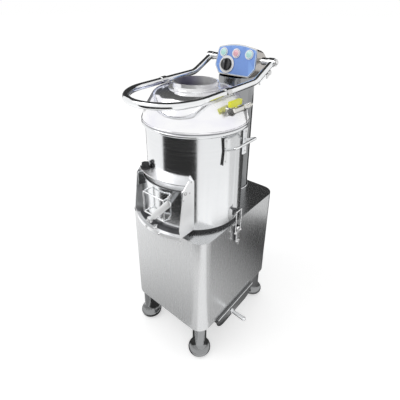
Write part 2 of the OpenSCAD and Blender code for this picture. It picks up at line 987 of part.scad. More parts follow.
// Motor shaft with its small pulley
module motor_shaft() color("lightsteelblue") at_axis() translate([0, motor_y, 0]) {
    pulley_rim(motor_pulley_r);
    bar_z(belt_z - belt_w, motor_z + motor_tail, 0, 0, motor_shaft_r);
}

// Pipe from the drum floor down to the peel tray
module waste_pipe() color("gray") at_axis() translate([waste_x, 0, 0]) {
    ring(leg_h - pipe_down, drum_z, waste_r - sheet, waste_r);
}

// Rounded section of the trough, drawn in by inset, up to height top
module trough_section(inset, top) {
    w = trough_w - 2 * inset;
    r = trough_round - inset;
    translate([trough_y, 0]) intersection() {
        union() {
            for (s = [-1, 1]) {
                translate([s * (w / 2 - r), trough_z + trough_round]) circle(r);
            }
            translate([r - w / 2, trough_z + inset]) square([w - 2 * r, leg_h - trough_z]);
            translate([-w / 2, trough_z + trough_round]) square([w, leg_h]);
        }
        translate([-w / 2, 0]) square([w, top]);
    }
}

// Catch trough under the floor pan, open to the right, with a drain outlet
module catch_trough() color("dimgray") at_axis() {
    hem = 12;
    rear = trough_y + trough_w / 2;
    drain_z = trough_z + trough_round / 2;
    difference() {
        union() {
            along_x(trough_x0, trough_x1) trough_section(0, leg_h);
            translate([trough_x0, trough_y - trough_w / 2 - hem, leg_h - sheet])
                cube([trough_x1 - trough_x0, trough_w + 2 * hem, sheet]);
            bar_y(rear - trough_round, rear + drain_l, drain_x, drain_z, drain_r);
            bar_y(rear - trough_round, rear + drain_boss, drain_x, drain_z, drain_r + drain_boss);
        }
        along_x(trough_x0 + sheet, trough_x1 + over) trough_section(sheet, leg_h + over);
        bar_y(rear - trough_round, rear + drain_l + over, drain_x, drain_z, drain_r - sheet);
    }
}

// Perforated peel tray that slides out to the right
module peel_tray() color("gray") at_axis() {
    inset = sheet + tray_gap;
    x0 = trough_x0 + sheet + tray_back_gap;
    flat_w = trough_w - 2 * trough_round;
    rows = floor(flat_w / tray_hole_pitch);
    cols = floor((trough_x1 - x0 - tray_hole_pitch) / tray_hole_pitch);
    lip_top = leg_h - tray_hem_gap;
    difference() {
        along_x(x0, trough_x1 + 2 * tray_gap) trough_section(inset, tray_top);
        along_x(x0 + tray_wall, trough_x1 + 2 * tray_gap + over)
            trough_section(inset + tray_wall, tray_top + over);
        for (i = [1 : cols], j = [0 : rows - 1]) {
            bar_z(trough_z, trough_z + trough_round / 2, x0 + i * tray_hole_pitch,
                trough_y + (j - (rows - 1) / 2) * tray_hole_pitch, tray_hole_r);
        }
    }
    along_x(trough_x1 + tray_gap, tray_face) trough_section(-tray_lip, lip_top);
    lip_y0 = trough_y - trough_w / 2 - tray_lip;
    lip_y1 = trough_y + trough_w / 2 + tray_lip;
    bar_y(lip_y0, lip_y1, tray_face + tray_lip_r, lip_top - tray_lip_r, tray_lip_r);
    translate([tray_face - over, lip_y0, lip_top - 2 * tray_lip_r])
        cube([tray_lip_r + over, lip_y1 - lip_y0, 2 * tray_lip_r]);
}

// Turned handle of the tray
module tray_handle() color("silver") at_axis() {
    x1 = handle_x0 + tray_collar_t;
    bar_x(tray_face, handle_x0 + over, 0, tray_handle_z, tray_neck_r);
    collar_share = 1.3;
    waist_share = 0.8;
    bar_x(handle_x0, x1, 0, tray_handle_z, tray_handle_r * collar_share);
    translate([x1, 0, tray_handle_z]) rotate([0, 90, 0])
        cylinder(r1 = tray_handle_r * waist_share, r2 = tray_handle_r, h = tray_handle_l - tray_handle_r);
    intersection() {
        translate([handle_tip - tray_handle_r, 0, tray_handle_z]) sphere(r = tray_handle_r);
        bar_x(handle_tip - tray_handle_r, handle_tip, 0, tray_handle_z, tray_handle_r);
    }
}

// Side outline of a chute cheek in the Y-Z plane
module cheek_outline() {
    polygon([
        [-drum_r * cheek_top_in_share, hood_z - cheek_top_down],
        [hinge_y + cheek_top_back, hood_z + cheek_top_up],
        [hinge_y - cheek_brow_out, hinge_z + cheek_brow_up],
        [-lip_reach + cheek_chin_in, lip_out_z + cheek_chin_up],
        [-lip_reach * cheek_foot_out_share, lip_out_z - cheek_foot_down],
        [-drum_r * cheek_foot_in_share, lip_out_z - cheek_foot_down]
    ]);
}

// Two cheeks, the throat round the opening and the sloping lip
module chute() color("gainsboro") at_axis() {
    weld = drum_r + run_gap;
    difference() {
        union() {
            for (x = [-cheek_x, cheek_in]) {
                along_x(x, x + chute_t) cheek_outline();
            }
        }
        bar_z(drum_z - drum_h, drum_top, 0, 0, weld);
        bar_x(-cheek_x - over, cheek_x + over, hinge_y, hinge_z, hinge_pin_r + run_gap);
    }
    difference() {
        front_arc(lip_out_z + throat_sill, throat_z1, weld, throat_out, window_w / 2 + throat_t);
        translate([-window_w / 2, -throat_out - over, throat_z0 + throat_t])
            cube([window_w, throat_out, throat_z1 - throat_z0 - 2 * throat_t]);
    }
    difference() {
        intersection() {
            rotate_extrude() polygon([
                [weld, lip_in_z], [lip_reach, lip_out_z],
                [lip_reach, lip_out_z - lip_hem_h],
                [lip_reach - chute_t, lip_out_z - lip_hem_h],
                [lip_reach - chute_t, lip_out_z - chute_t], [weld, lip_in_z - chute_t]
            ]);
            translate([-cheek_in - over, -lip_reach - over, cab_top])
                cube([2 * (cheek_in + over), lip_reach, drum_h]);
        }
        bar_z(cab_top, drum_top, keeper_x, keeper_y, keeper_stud_r + fit_gap);
    }
}

// Curved strip over the door
module chute_hood() color("whitesmoke") at_axis() {
    front_arc(hood_z, hood_z + chute_t, drum_r + run_gap, hood_r, cheek_in);
}

// Rubber stop for the opened door, with a steel ring, on the hood
module door_bumper() color("black") at_axis() {
    reach = drum_r + bumper_r + 2 * fit_gap;
    y = -sqrt(reach * reach - bumper_x * bumper_x);
    z = hood_z + chute_t;
    bar_z(z, z + bumper_h, bumper_x, y, bumper_r - bumper_step);
    bar_z(z, z + bumper_h / 3, bumper_x, y, bumper_r);
}

// Side outline of a door lug in the Y-Z plane
module lug_outline() {
    translate([hinge_y, hinge_z]) circle(lug_r);
    translate([hinge_y - lug_r, door_top - lug_down])
        square([2 * lug_r, hinge_z - door_top + lug_down]);
}

// Curved door with two hinge lugs, their pins and the boss of the cam lever
module door() color("lightgray") at_axis() {
    front_arc(door_z0, door_top, door_r - door_t, door_r, door_half);
    for (s = [-1, 1]) {
        along_x(s * (door_half - lug_t / 2) - lug_t / 2, s * (door_half - lug_t / 2) + lug_t / 2)
            lug_outline();
        bar_x(s > 0 ? door_half - over : -cheek_x - over,
            s > 0 ? cheek_x + over : over - door_half, hinge_y, hinge_z, hinge_pin_r);
    }
    difference() {
        bar_y(cam_y - cam_t - boss_out, -door_r + hinge_in / 2, cam_pivot[0], cam_pivot[1], boss_r);
        bar_z(door_z0 - over, door_top, 0, 0, door_r - door_t / 2);
    }
}

// Rubber frame on the inner face of the door
module door_seal() color("black") at_axis() {
    side = door_seal_w;
    half = window_w / 2 + throat_t + door_seal_over;
    r_out = door_r - door_t;
    difference() {
        front_arc(door_z0 + door_seal_up, door_top - door_seal_down, throat_out + fit_gap,
            r_out, half);
        translate([side - half, -door_r, door_z0 + side])
            cube([2 * (half - side), door_r, door_h - 2 * side]);
    }
}

// Wire handle on the door, a flat loop on two stand-offs each side
module door_handle() color("silver") at_axis() {
    difference() {
        union() {
            for (s = [-1, 1]) {
                bar_z(wire_z0, wire_z1, s * door_wire_x, wire_y, door_wire_r);
            }
            for (z = [wire_z0, wire_z1]) {
                bar_x(-door_wire_x, door_wire_x, wire_y, z, door_wire_r);
                for (s = [-1, 1]) {
                    translate([s * door_wire_x, wire_y, z]) sphere(r = door_wire_r);
                    bar_y(wire_y, -door_r + hinge_in, s * door_wire_x, z, door_wire_r);
                }
            }
        }
        bar_z(door_z0, door_top, 0, 0, door_r + run_gap);
    }
}

// Cam lever that presses the door shut, turning on the boss of the door
module cam_lever() color("gainsboro") at_axis() {
    translate([cam_pivot[0], cam_y, cam_pivot[1]]) rotate([0, cam_lean, 0]) difference() {
        union() {
            translate([-cam_w / 2, -cam_t, cam_neck_l]) cube([cam_w, cam_t, cam_l - cam_neck_l]);
            translate([-cam_w / 3, -cam_t, 0]) cube([cam_w * 2 / 3, cam_t, cam_l / 2]);
            bar_y(-cam_t, 0, 0, 0, cam_toe);
            bar_y(-cam_t, 0, 0, cam_l, cam_w / 2);
        }
        bar_y(-cam_t - over, over, 0, 0, boss_r + run_gap);
    }
}

// Stud with a nut on the lip, against which the cam lever bears
module door_keeper() color("silver") at_axis() {
    translate([keeper_x, keeper_y, lip_out_z + keeper_nut_up])
        cylinder(r = keeper_nut_r, h = keeper_nut_h, $fn = 6);
    bar_z(lip_out_z - lip_hem_h + keeper_stud_in, lip_out_z + keeper_nut_up + keeper_nut_h,
        keeper_x, keeper_y, keeper_stud_r);
}

// Bent rod that rises outwards from two straps, on the right of the drum
module side_handle_body() {
    z = drum_top - handle_down;
    foot_y = handle_l / 2;
    corner = handle_bend_r;
    x_in = sqrt(pow(drum_r, 2) - pow(foot_y, 2));
    leg_l = (handle_reach - x_in) / cos(handle_rise);
    for (s = [-1, 1]) {
        // V strap, drawn in at its middle
        difference() {
            translate([0, s * foot_y, z]) along_x(x_in - strap_in, x_in + strap_out) polygon([
                [-strap_w / 2, -strap_h / 2], [strap_w / 2, -strap_h / 2],
                [strap_w * strap_waist_share, 0], [strap_w / 2, strap_h / 2],
                [-strap_w / 2, strap_h / 2], [-strap_w * strap_waist_share, 0]
            ]);
            bar_z(drum_z, drum_top, 0, 0, drum_r + run_gap);
        }
    }
    translate([x_in, 0, z]) rotate([0, -handle_rise, 0]) {
        for (s = [-1, 1]) {
            bar_x(handle_root, leg_l - corner, s * foot_y, 0, handle_rod_r);
            translate([leg_l - corner, s * (foot_y - corner), 0])
                bent_bar(corner, s > 0 ? 0 : -90, s > 0 ? 90 : 0, handle_rod_r);
        }
        bar_y(corner - foot_y, foot_y - corner, leg_l, 0, handle_rod_r);
    }
}

module side_handle_right() color("silver") at_axis() side_handle_body();
module side_handle_left() color("silver") at_axis() mirror([1, 0, 0]) side_handle_body();

// Plate and ears of a draw latch on the right side of the cabinet
module latch_base() {
    x = cab_w / 2;
    difference() {
        union() {
            translate([x, latch_y - latch_w / 2, latch_pivot_z + latch_plate_up - latch_h])
                cube([latch_plate_t, latch_w, latch_h]);
            for (s = [-1, 1]) {
                translate([x, latch_y + s * (latch_w + ear_t) / 2 - ear_t / 2,
                    latch_pivot_z - ear_h / 2]) cube([ear_reach, ear_t, ear_h]);
            }
        }
        bar_y(latch_y - latch_w, latch_y + latch_w, latch_pin_x, latch_pivot_z,
            latch_pin_r + run_gap);
    }
}

module latch_bases() color("silver") at_axis() {
    latch_base();
    mirror([1, 0, 0]) latch_base();
}

// Hook plate on the drum that a bail pulls on
module latch_keeper() {
    root_x = drum_r * keeper_root_share;
    difference() {
        union() {
            translate([root_x, latch_y - latch_w / 2, keeper_z - keeper_plate_down])
                cube([drum_r - root_x + keeper_plate_t, latch_w, keeper_plate_h]);
            translate([root_x, latch_y - latch_w / 2 + keeper_tab_in,
                keeper_z - bail_wire_r - keeper_tab_gap])
                cube([bail_x - root_x + bail_wire_r, latch_w - 2 * keeper_tab_in, keeper_plate_t]);
        }
        bar_z(drum_z, drum_top, 0, 0, drum_r + run_gap);
    }
}

module latch_keepers() color("silver") at_axis() {
    latch_keeper();
    mirror([1, 0, 0]) latch_keeper();
}

// Lever of a draw latch, hanging down from its pin
module latch_lever_body() {
    half = latch_w / 2 - fit_gap;
    pin_half = latch_w / 2 + ear_t;
    cross_half = bail_side + cross_pin_end;
    translate([lever_x, latch_y - half, latch_pivot_z - latch_lever_l]) {
        cube([latch_lever_t, 2 * half, latch_lever_l]);
        cube([lever_curl_share * latch_lever_t, 2 * half, latch_lever_t]);
    }
    bar_y(latch_y - half, latch_y + half, latch_pin_x, latch_pivot_z, latch_pin_r + latch_knuckle);
    bar_y(latch_y - pin_half, latch_y + pin_half, latch_pin_x, latch_pivot_z, latch_pin_r);
    bar_y(latch_y - cross_half, latch_y + cross_half, bail_x, bail_z, bail_wire_r);
}

module latch_lever_right() color("silver") at_axis() latch_lever_body();
module latch_lever_left() color("silver") at_axis() mirror([1, 0, 0]) latch_lever_body();

// Wire bail from the lever's cross pin up over the keeper
module latch_bail_body() {
    side = bail_side;
    difference() {
        union() {
            for (s = [-1, 1]) {
                bar_z(bail_z, keeper_z, bail_x, latch_y + s * side, bail_wire_r);
                bar_y(latch_y + s * side - bail_eye_w, latch_y + s * side + bail_eye_w, bail_x, bail_z,
                    bail_wire_r + bail_eye_t);
                translate([bail_x, latch_y + s * side, keeper_z]) sphere(r = bail_wire_r);
            }
            bar_y(latch_y - side, latch_y + side, bail_x, keeper_z, bail_wire_r);
        }
        bar_y(latch_y - 2 * side, latch_y + 2 * side, bail_x, bail_z, bail_wire_r + run_gap);
    }
}

module latch_bail_right() color("silver") at_axis() latch_bail_body();
module latch_bail_left() color("silver") at_axis() mirror([1, 0, 0]) latch_bail_body();

// Plan of the column, drawn in by inset
module col_plan(inset) {
    translate([0, panel_y - col_front_in + col_d / 2])
        round_rect(col_w - 2 * inset, col_d - 2 * inset, col_corner_r - inset);
}

// Hollow column with a foot flange, up to the control head
module column() color("darkgray") at_axis() {
    difference() {
        union() {
            translate([0, 0, cab_top]) linear_extrude(col_h - fit_gap) col_plan(0);
            translate([0, 0, cab_top]) linear_extrude(2 * sheet) col_plan(-col_flange);
        }
        translate([0, 0, cab_top - over]) linear_extrude(col_h + 2 * over) col_plan(sheet);
    }
}

// Black block that steadies the drum against the column
module drum_stay() color("black") at_axis() {
    z = drum_top - stay_down;
    difference() {
        translate([stay_x, drum_r * stay_in_share, z]) cube([stay_w, stay_l, stay_h]);
        bar_z(z - over, z + stay_h + over, 0, 0, drum_r + fit_gap);
        translate([0, 0, z - over]) linear_extrude(stay_h + 2 * over) col_plan(-fit_gap);
        translate([0, panel_y - stay_back, z - over]) cube([stay_l, stay_l, stay_h + 2 * over]);
    }
}

// Moves a piece drawn on a flat panel onto the leaning front of the control head
module on_panel() {
    translate([head_x, panel_y, head_z]) rotate([90 - panel_lean, 0, 0]) children();
}

// Outline of the control head, seen square to the panel, drawn in by inset
module head_outline(inset) {
    w = head_half_w - inset;
    h = head_h - 2 * inset;
    translate([0, inset]) rounded_outline([
        [-w * head_foot_share, 0],
        [w * head_foot_share, 0],
        [w, h * head_mid_share],
        [w * head_top_share, h * head_shoulder_share],
        [0, h * head_crown_share],
        [-w * head_top_share, h * head_shoulder_share],
        [-w, h * head_mid_share]
    ], head_radii);
}

// Solid of the control head, drawn in by inset
module head_solid(inset) {
    top_z = head_z + head_h * cos(panel_lean) + head_roof_up;
    intersection() {
        on_panel() translate([0, 0, -2 * head_d]) linear_extrude(2 * head_d - inset)
            head_outline(inset);
        along_x(-2 * head_half_w, 2 * head_half_w) polygon([
            [panel_y - head_d, head_z + inset],
            [panel_y + head_d - inset, head_z + inset],
            [panel_y + head_d - inset, head_z + head_h * head_back_share],
            [panel_y + head_d * head_slope_in_share, head_z + head_h * head_slope_share - inset],
            [panel_y + head_d * head_roof_share, top_z - inset],
            [panel_y - head_d, top_z + head_d]
        ]);
    }
}

// Folded sheet housing of the controls
module control_box() color("darkgray") at_axis() {
    difference() {
        head_solid(0);
        head_solid(head_t);
        on_panel() for (i = [-1 : 1]) {
            bar_z(-2 * head_t, over, i * button_pitch, head_h * button_y_share,
                button_r - hole_in);
        }
        on_panel() bar_z(-2 * head_t, over, knob_x, head_h * knob_y_share, spindle_r + fit_gap);
        bar_x(-bar_half_w, bar_half_w, pivot_y, pivot_z, pivot_pin_r + fit_gap);
    }
}

// Blue panel plate with button bezels and the knob's ring
module control_panel() color("cornflowerblue") at_axis() on_panel() {
    hole_r = button_r + button_gap;
    difference() {
        union() {
            linear_extrude(panel_t) head_outline(panel_edge);
            for (i = [-1 : 1]) {
                bar_z(0, panel_t + bezel_h, i * button_pitch, head_h * button_y_share,
                    hole_r + bezel_w);
            }
            bar_z(0, panel_t + knob_step, knob_x, head_h * knob_y_share, ring_r);
        }
        for (i = [-1 : 1]) {
            bar_z(-over, panel_t + bezel_h + over, i * button_pitch, head_h * button_y_share,
                hole_r);
        }
        bar_z(-over, panel_t + knob_step + over, knob_x, head_h * knob_y_share,
            spindle_r + fit_gap);
    }
}

// Push button i, counted from the middle one, with a plunger through the housing
module button(i) {
    at_axis() on_panel() translate([i * button_pitch, head_h * button_y_share, 0]) {
        bar_z(button_travel + fit_gap, panel_t + bezel_h + button_travel, 0, 0, button_r);
        bar_z(-plunger_l, button_travel + plunger_in, 0, 0, button_r / 2);
    }
}

module start_button() color("palegreen") button(-1);
module stop_button() color("lightcoral") button(0);
module pulse_button() color("palegreen") button(1);

// Timer knob with a grip bar and a spindle
module timer_knob() color("black") at_axis() on_panel() {
    translate([knob_x, head_h * knob_y_share, 0]) {
        z = panel_t + knob_step + fit_gap;
        bar_z(z, z + knob_h, 0, 0, knob_r - knob_step);
        bar_z(z, z + knob_h / 2, 0, 0, knob_r);
        translate([-grip_w / 2, -knob_r * grip_share, z])
            cube([grip_w, 2 * knob_r * grip_share, knob_h + grip_h]);
        bar_z(-spindle_l, z + over, 0, 0, spindle_r);
    }
}

// Contact blocks and the timer behind the panel
module switch_blocks() color("dimgray") at_axis() on_panel() {
    gap = button_travel + plunger_in;
    for (i = [-1 : 1]) {
        translate([i * button_pitch, head_h * button_y_share, 0]) difference() {
            translate([-block_w / 2, -block_down, -block_d - head_t])
                cube([block_w, block_w, block_d - fit_gap]);
            bar_z(-plunger_l - gap, 0, 0, 0, button_r / 2 + fit_gap);
        }
    }
    translate([knob_x, head_h * knob_y_share, 0]) difference() {
        translate([-timer_w / 2, -timer_w / 2, -block_d - head_t])
            cube([timer_w, timer_h, block_d - fit_gap]);
        bar_z(-spindle_l - over, 0, 0, 0, spindle_r + run_gap);
    }
}

// Moves a piece into the sloping plane of the bar's arms
module on_arms() {
    translate([0, 0, arm_z]) rotate([bar_tilt, 0, 0]) children();
}

// Moves a piece onto the rising ends of the arms
module on_arm_ends() {
    on_arms() translate([0, bend_end[0], bend_end[1]]) rotate([bend_a, 0, 0]) children();
}

// Right arm of the bar with its bend, its eye and, if plated, the stop plate
module bar_arm(plated) {
    x = bar_half_w;
    difference() {
        union() {
            on_arms() {
                bar_y(-bow_y, bend_y, x, 0, bar_r);
                translate([x, 0, 0]) rotate([90, 0, 90]) translate([bend_y, bend_r, 0])
                    bent_bar(bend_r, -90, bend_a - 90, bar_r);
            }
            on_arm_ends() bar_y(0, arm_end_l, x, 0, bar_r);
            bar_x(x - eye_l / 2, x + eye_l / 2, pivot_y, pivot_z, eye_r);
            if (plated) {
                on_arm_ends() translate([x - plate_t / 2, plate_start, -bar_r - plate_drop])
                    cube([plate_t, plate_l, plate_drop + bar_r / 2]);
            }
        }
        bar_x(x - eye_l, x + eye_l, pivot_y, pivot_z, pivot_pin_r + run_gap);
    }
}

// Safety bar, one bent tube with an eye at each end
module safety_bar() color("whitesmoke") at_axis() {
    on_arms() translate([0, -bow_y, 0]) bent_bar(bar_half_w, 180, 360, bar_r);
    bar_arm(true);
    mirror([1, 0, 0]) bar_arm(false);
}

// Stub axles of the bar, through the sides of the control head
module bar_pivots() color("silver") at_axis() {
    for (s = [-1, 1]) {
        scale_x = s > 0 ? 0 : 1;
        mirror([scale_x, 0, 0]) {
            tip_x = bar_half_w + eye_l / 2 + pivot_cap_l;
            bar_x(head_half_w * hub_in_share, tip_x, pivot_y, pivot_z, pivot_pin_r);
            bar_x(head_half_w + pivot_side, bar_half_w - eye_l / 2 - fit_gap, pivot_y, pivot_z,
                pivot_pin_r + pivot_hub_r);
            bar_x(bar_half_w + eye_l / 2 + fit_gap, tip_x, pivot_y, pivot_z,
                pivot_pin_r + pivot_cap_r);
        }
    }
}

// Wing bolt under the right arm
module wing_bolt() color("silver") at_axis() on_arm_ends() {
    y = arm_end_l * wing_share;
    top = -bar_r - fit_gap;
    low = -bar_r - wing_down;
    x0 = bar_half_w - wing_t / 2;
    bar_z(-bar_r - wing_stem_l, top, bar_half_w, y, wing_stem_r);
    bar_z(-bar_r - wing_collar_h, top, bar_half_w, y, wing_collar_r);
    for (s = [-1, 1]) {
        bar_x(x0, x0 + wing_t, y + s * wing_span / 2, low, wing_r);
    }
    translate([x0, y - wing_span / 2, low - wing_collar_h])
        cube([wing_t, wing_span, wing_web_h]);
}

// Half section of the dome, drawn in by inset
module dome_section(inset) {
    r = lid_r - inset;
    h = lid_h - inset;
    translate([0, lid_z]) rounded_outline([
        [0, 0],
        [r, 0],
        [r - dome_side_in, lid_h * dome_side_share],
        [r - dome_brow_in, h - dome_brow_down],
        [r - dome_crown_in, h],
        [0, h]
    ], [0, 0, dome_side_r, dome_brow_r, dome_crown_r, 0]);
}

// Clear dome of the lid, with a hem, open for the collar and the water nipple
module lid_dome() color("lavender", 0.5) at_axis() {
    hole_r = skin_r(dome_top - lid_t - dome_hole_in) + fit_gap;
    difference() {
        rotate_extrude() difference() {
            dome_section(0);
            translate([0, -over]) dome_section(lid_t);
        }
        bar_z(dome_top - 3 * lid_t, dome_top + over, 0, 0, hole_r);
        bar_x(0, lid_r, valve_y, valve_z, nipple_r + fit_gap);
    }
}

// Feed collar of the lid, flared downwards, with a lip and a flange on the dome
module feed_collar() color("lavender", 0.7) at_axis() {
    top = dome_top + collar_h;
    low = dome_top - collar_drop;
    lip_z = top - collar_lip_h;
    rotate_extrude() polygon([
        [collar_foot_r, low], [skin_r(dome_top), dome_top],
        [collar_foot_r + collar_flange_w, dome_top],
        [collar_foot_r + collar_flange_w, dome_top + collar_wall],
        [skin_r(dome_top + collar_wall), dome_top + collar_wall],
        [skin_r(lip_z), lip_z], [collar_r + collar_lip_w, lip_z],
        [collar_r + collar_lip_w, top], [collar_r - collar_wall, top],
        [collar_foot_r - collar_wall, low]
    ]);
}

// Rubber ring under the lid
module lid_gasket() color("dimgray") at_axis() {
    ring(drum_top + fit_gap, lid_z, drum_r, lid_r);
}

// Two saddles that clamp the lid to the bar's arms
module lid_saddles() color("silver") at_axis() {
    tab_in = saddle_tab;
    leg_x = bar_half_w - bar_r;
    for (s = [-1, 1]) {
        difference() {
            union() {
                on_arms() intersection() {
                    bar_y(saddle_y - saddle_l / 2, saddle_y + saddle_l / 2, s * bar_half_w, 0,
                        bar_r + saddle_t);
                    translate([-lid_r, saddle_y - saddle_l, -bar_r / 4])
                        cube([2 * lid_r, 2 * saddle_l, 2 * bar_r]);
                }
                translate([s > 0 ? bar_half_w - tab_in : -leg_x, saddle_y - saddle_l / 2,
                    dome_top]) cube([leg_x - bar_half_w + tab_in, saddle_l, saddle_t]);
                translate([s > 0 ? leg_x - saddle_t : -leg_x, saddle_y - saddle_l / 2,
                    dome_top]) cube([saddle_t, saddle_l, arm_z - dome_top]);
                bar_z(dome_top, dome_top + 2 * saddle_t,
                    s * (bar_half_w - tab_in + saddle_bolt_in), saddle_y, saddle_bolt_r);
            }
            on_arms() bar_y(saddle_y - saddle_l, saddle_y + saddle_l, s * bar_half_w, 0,
                bar_r + run_gap);
        }
    }
}

// Ball valve on the lid, with a nipple into the dome and a hose tail to the rear
module valve_body() color("gold") at_axis() {
    y0 = valve_y - valve_front;
    y1 = valve_y + valve_rear;
    bar_y(y0, y1, valve_x, valve_z, valve_r);
    translate([valve_x, y0 - valve_over, valve_z]) rotate([-90, 0, 0])
        cylinder(r = valve_nut_r, h = valve_nut_h, $fn = 6);
    translate([valve_x, y1 - valve_nut_h, valve_z]) rotate([-90, 0, 0])
        cylinder(r = valve_nut_r, h = valve_nut_h + valve_over, $fn = 6);
    bar_z(valve_z, valve_z + valve_r + valve_stem_h, valve_x, valve_y, valve_stem_r);
    bar_x(lid_r - nipple_l, valve_x, valve_y, valve_z, nipple_r);
    difference() {
        bar_y(y1, y1 + hose_l, valve_x, valve_z, hose_r);
        bar_y(y1 + hose_bore_up, y1 + hose_l + over, valve_x, valve_z, hose_r - hose_wall);
    }
}

// Yellow lever of the ball valve
module valve_lever() color("yellow") at_axis() {
    z = valve_z + valve_r + valve_stem_h / 2;
    difference() {
        union() {
            translate([valve_x - valve_lever_w / 2, valve_y - valve_lever_l / 2, z])
                cube([valve_lever_w, valve_lever_l, valve_lever_h]);
            bar_z(z - lever_boss_h, z + over, valve_x, valve_y, valve_lever_w / 2 + lever_boss_w);
        }
        bar_z(z - lever_boss_h - over, valve_z + valve_r + valve_stem_h + fit_gap, valve_x,
            valve_y, valve_stem_r + run_gap);
    }
}

// Cable inlet on the rear of the cabinet
module cable_gland() color("black") at_axis() {
    difference() {
        union() {
            bar_y(cab_rear - gland_in, cab_rear + gland_out, gland_x, gland_z, gland_r);
            translate([gland_x, cab_rear + fit_gap, gland_z]) rotate([-90, 0, 0])
                cylinder(r = gland_r + gland_nut_w, h = gland_nut_h, $fn = 6);
            translate([gland_x, cab_rear - sheet - gland_back_nut_h - fit_gap, gland_z])
                rotate([-90, 0, 0])
                    cylinder(r = gland_r + gland_nut_w, h = gland_back_nut_h, $fn = 6);
        }
        bar_y(cab_rear - gland_in - over, cab_rear + gland_out + over, gland_x, gland_z,
            gland_bore_r);
    }
}

cabinet_shell();
floor_pan();
access_cover();
foot_front_left();
foot_front_right();
foot_rear_left();
foot_rear_right();
base_gasket();
drum_shell();
abrasive_liner();
turntable();
turntable_nut();
main_shaft();
bearing_housing();
bearings();
shaft_seal();
driven_pulley();
drive_belt();
motor();
motor_mount();
motor_shaft();
waste_pipe();
catch_trough();
peel_tray();
tray_handle();
chute();
chute_hood();
door_bumper();
door();
door_seal();
door_handle();
cam_lever();
door_keeper();
side_handle_left();
side_handle_right();
latch_bases();
latch_keepers();
latch_lever_left();
latch_lever_right();
latch_bail_left();
latch_bail_right();
column();
drum_stay();
control_box();
control_panel();
start_button();
stop_button();
pulse_button();
timer_knob();
switch_blocks();
safety_bar();
bar_pivots();
wing_bolt();
lid_dome();
feed_collar();
lid_gasket();
lid_saddles();
valve_body();
valve_lever();
cable_gland();
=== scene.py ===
import bpy
import bmesh
import math
from mathutils import Matrix, Vector
from mathutils.bvhtree import BVHTree
from mathutils.geometry import convex_hull_2d


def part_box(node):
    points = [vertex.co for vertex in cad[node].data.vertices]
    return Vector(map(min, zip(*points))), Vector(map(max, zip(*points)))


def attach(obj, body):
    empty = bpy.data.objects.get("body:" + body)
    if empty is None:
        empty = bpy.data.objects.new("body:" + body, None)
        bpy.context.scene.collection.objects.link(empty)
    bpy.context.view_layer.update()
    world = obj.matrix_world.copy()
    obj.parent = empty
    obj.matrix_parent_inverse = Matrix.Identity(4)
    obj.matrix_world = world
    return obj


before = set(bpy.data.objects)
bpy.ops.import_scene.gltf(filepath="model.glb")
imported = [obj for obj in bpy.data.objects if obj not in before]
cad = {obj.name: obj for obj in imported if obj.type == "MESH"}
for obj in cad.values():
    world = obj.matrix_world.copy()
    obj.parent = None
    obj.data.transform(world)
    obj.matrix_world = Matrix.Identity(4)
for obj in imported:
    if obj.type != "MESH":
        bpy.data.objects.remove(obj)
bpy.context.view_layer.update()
scene = bpy.context.scene

# The photograph's camera: place in metres, angles in degrees, the rest in its pixels.
IMAGE = 400
CAM_PLACE = (0.73975, -0.94397, 1.40437)
CAM_YAW, CAM_PITCH, CAM_ROLL = -39.97, -24.41, 0.28
FOCAL_PX = 327.59
PRINCIPAL_PX = (196.5, 152.43)
SENSOR = 36.0
CLIP_START, CLIP_END = 0.01, 50


def make_camera():
    yaw, pitch, roll = map(math.radians, (CAM_YAW, CAM_PITCH, CAM_ROLL))
    forward = Vector((math.sin(yaw) * math.cos(pitch), math.cos(yaw) * math.cos(pitch), math.sin(pitch)))
    right = forward.cross(Vector((0, 0, 1))).normalized()
    up = right.cross(forward)
    right, up = right * math.cos(roll) + up * math.sin(roll), up * math.cos(roll) - right * math.sin(roll)
    data = bpy.data.cameras.new("camera")
    cam = bpy.data.objects.new("camera", data)
    scene.collection.objects.link(cam)
    turn = Matrix((right, up, -forward)).transposed()
    cam.matrix_world = Matrix.Translation(CAM_PLACE) @ turn.to_4x4()
    data.sensor_width = SENSOR
    data.lens = SENSOR * FOCAL_PX / IMAGE
    data.shift_x = (IMAGE / 2 - PRINCIPAL_PX[0]) / IMAGE
    data.shift_y = (PRINCIPAL_PX[1] - IMAGE / 2) / IMAGE
    data.clip_start, data.clip_end = CLIP_START, CLIP_END
    data.dof.use_dof = False
    scene.camera = cam


make_camera()

# Places and sizes of pieces are in millimetres, from the drum axis and the ground.
MM = 0.001
spin_low, spin_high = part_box("turntable")
AXIS = (spin_low + spin_high) / 2
AXIS.z = 0

OUTSIDE, ABOVE = 400, 1400
CABINET_TOP = 618
HINGE_Y, HINGE_Z = -194, 812
WIRE_X, WIRE_Z = 52, (687, 775)
CAM_X, CAM_Z = -16, 669
CHEEK_RIVETS = ((-172, 805), (-163, 845), (-205, 790))
HEM_X, HEM_Z = (-36, 35), 630.5
STRAP_Y, STRAP_Z = 62.5, (908, 984)
LATCH_Y = 14
SADDLE_X, SADDLE_Y = 120, -16
PIVOT_Y, PIVOT_Z = 285.1, 1197.5
VALVE_X, VALVE_Z = 198, 1086
VALVE_TAIL_Y = 27
COLUMN_CORNER = 63
SEAM_ANGLE, SEAM_Z = 125, (645, 760, 880, 1000)


def at(x, y, z):
    """A point given in millimetres from the drum axis and the ground."""
    return AXIS + Vector((x, y, z)) * MM


def mm_box(name):
    """A node's corners in millimetres from the drum axis."""
    low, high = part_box(name)
    return (low - AXIS) / MM, (high - AXIS) / MM


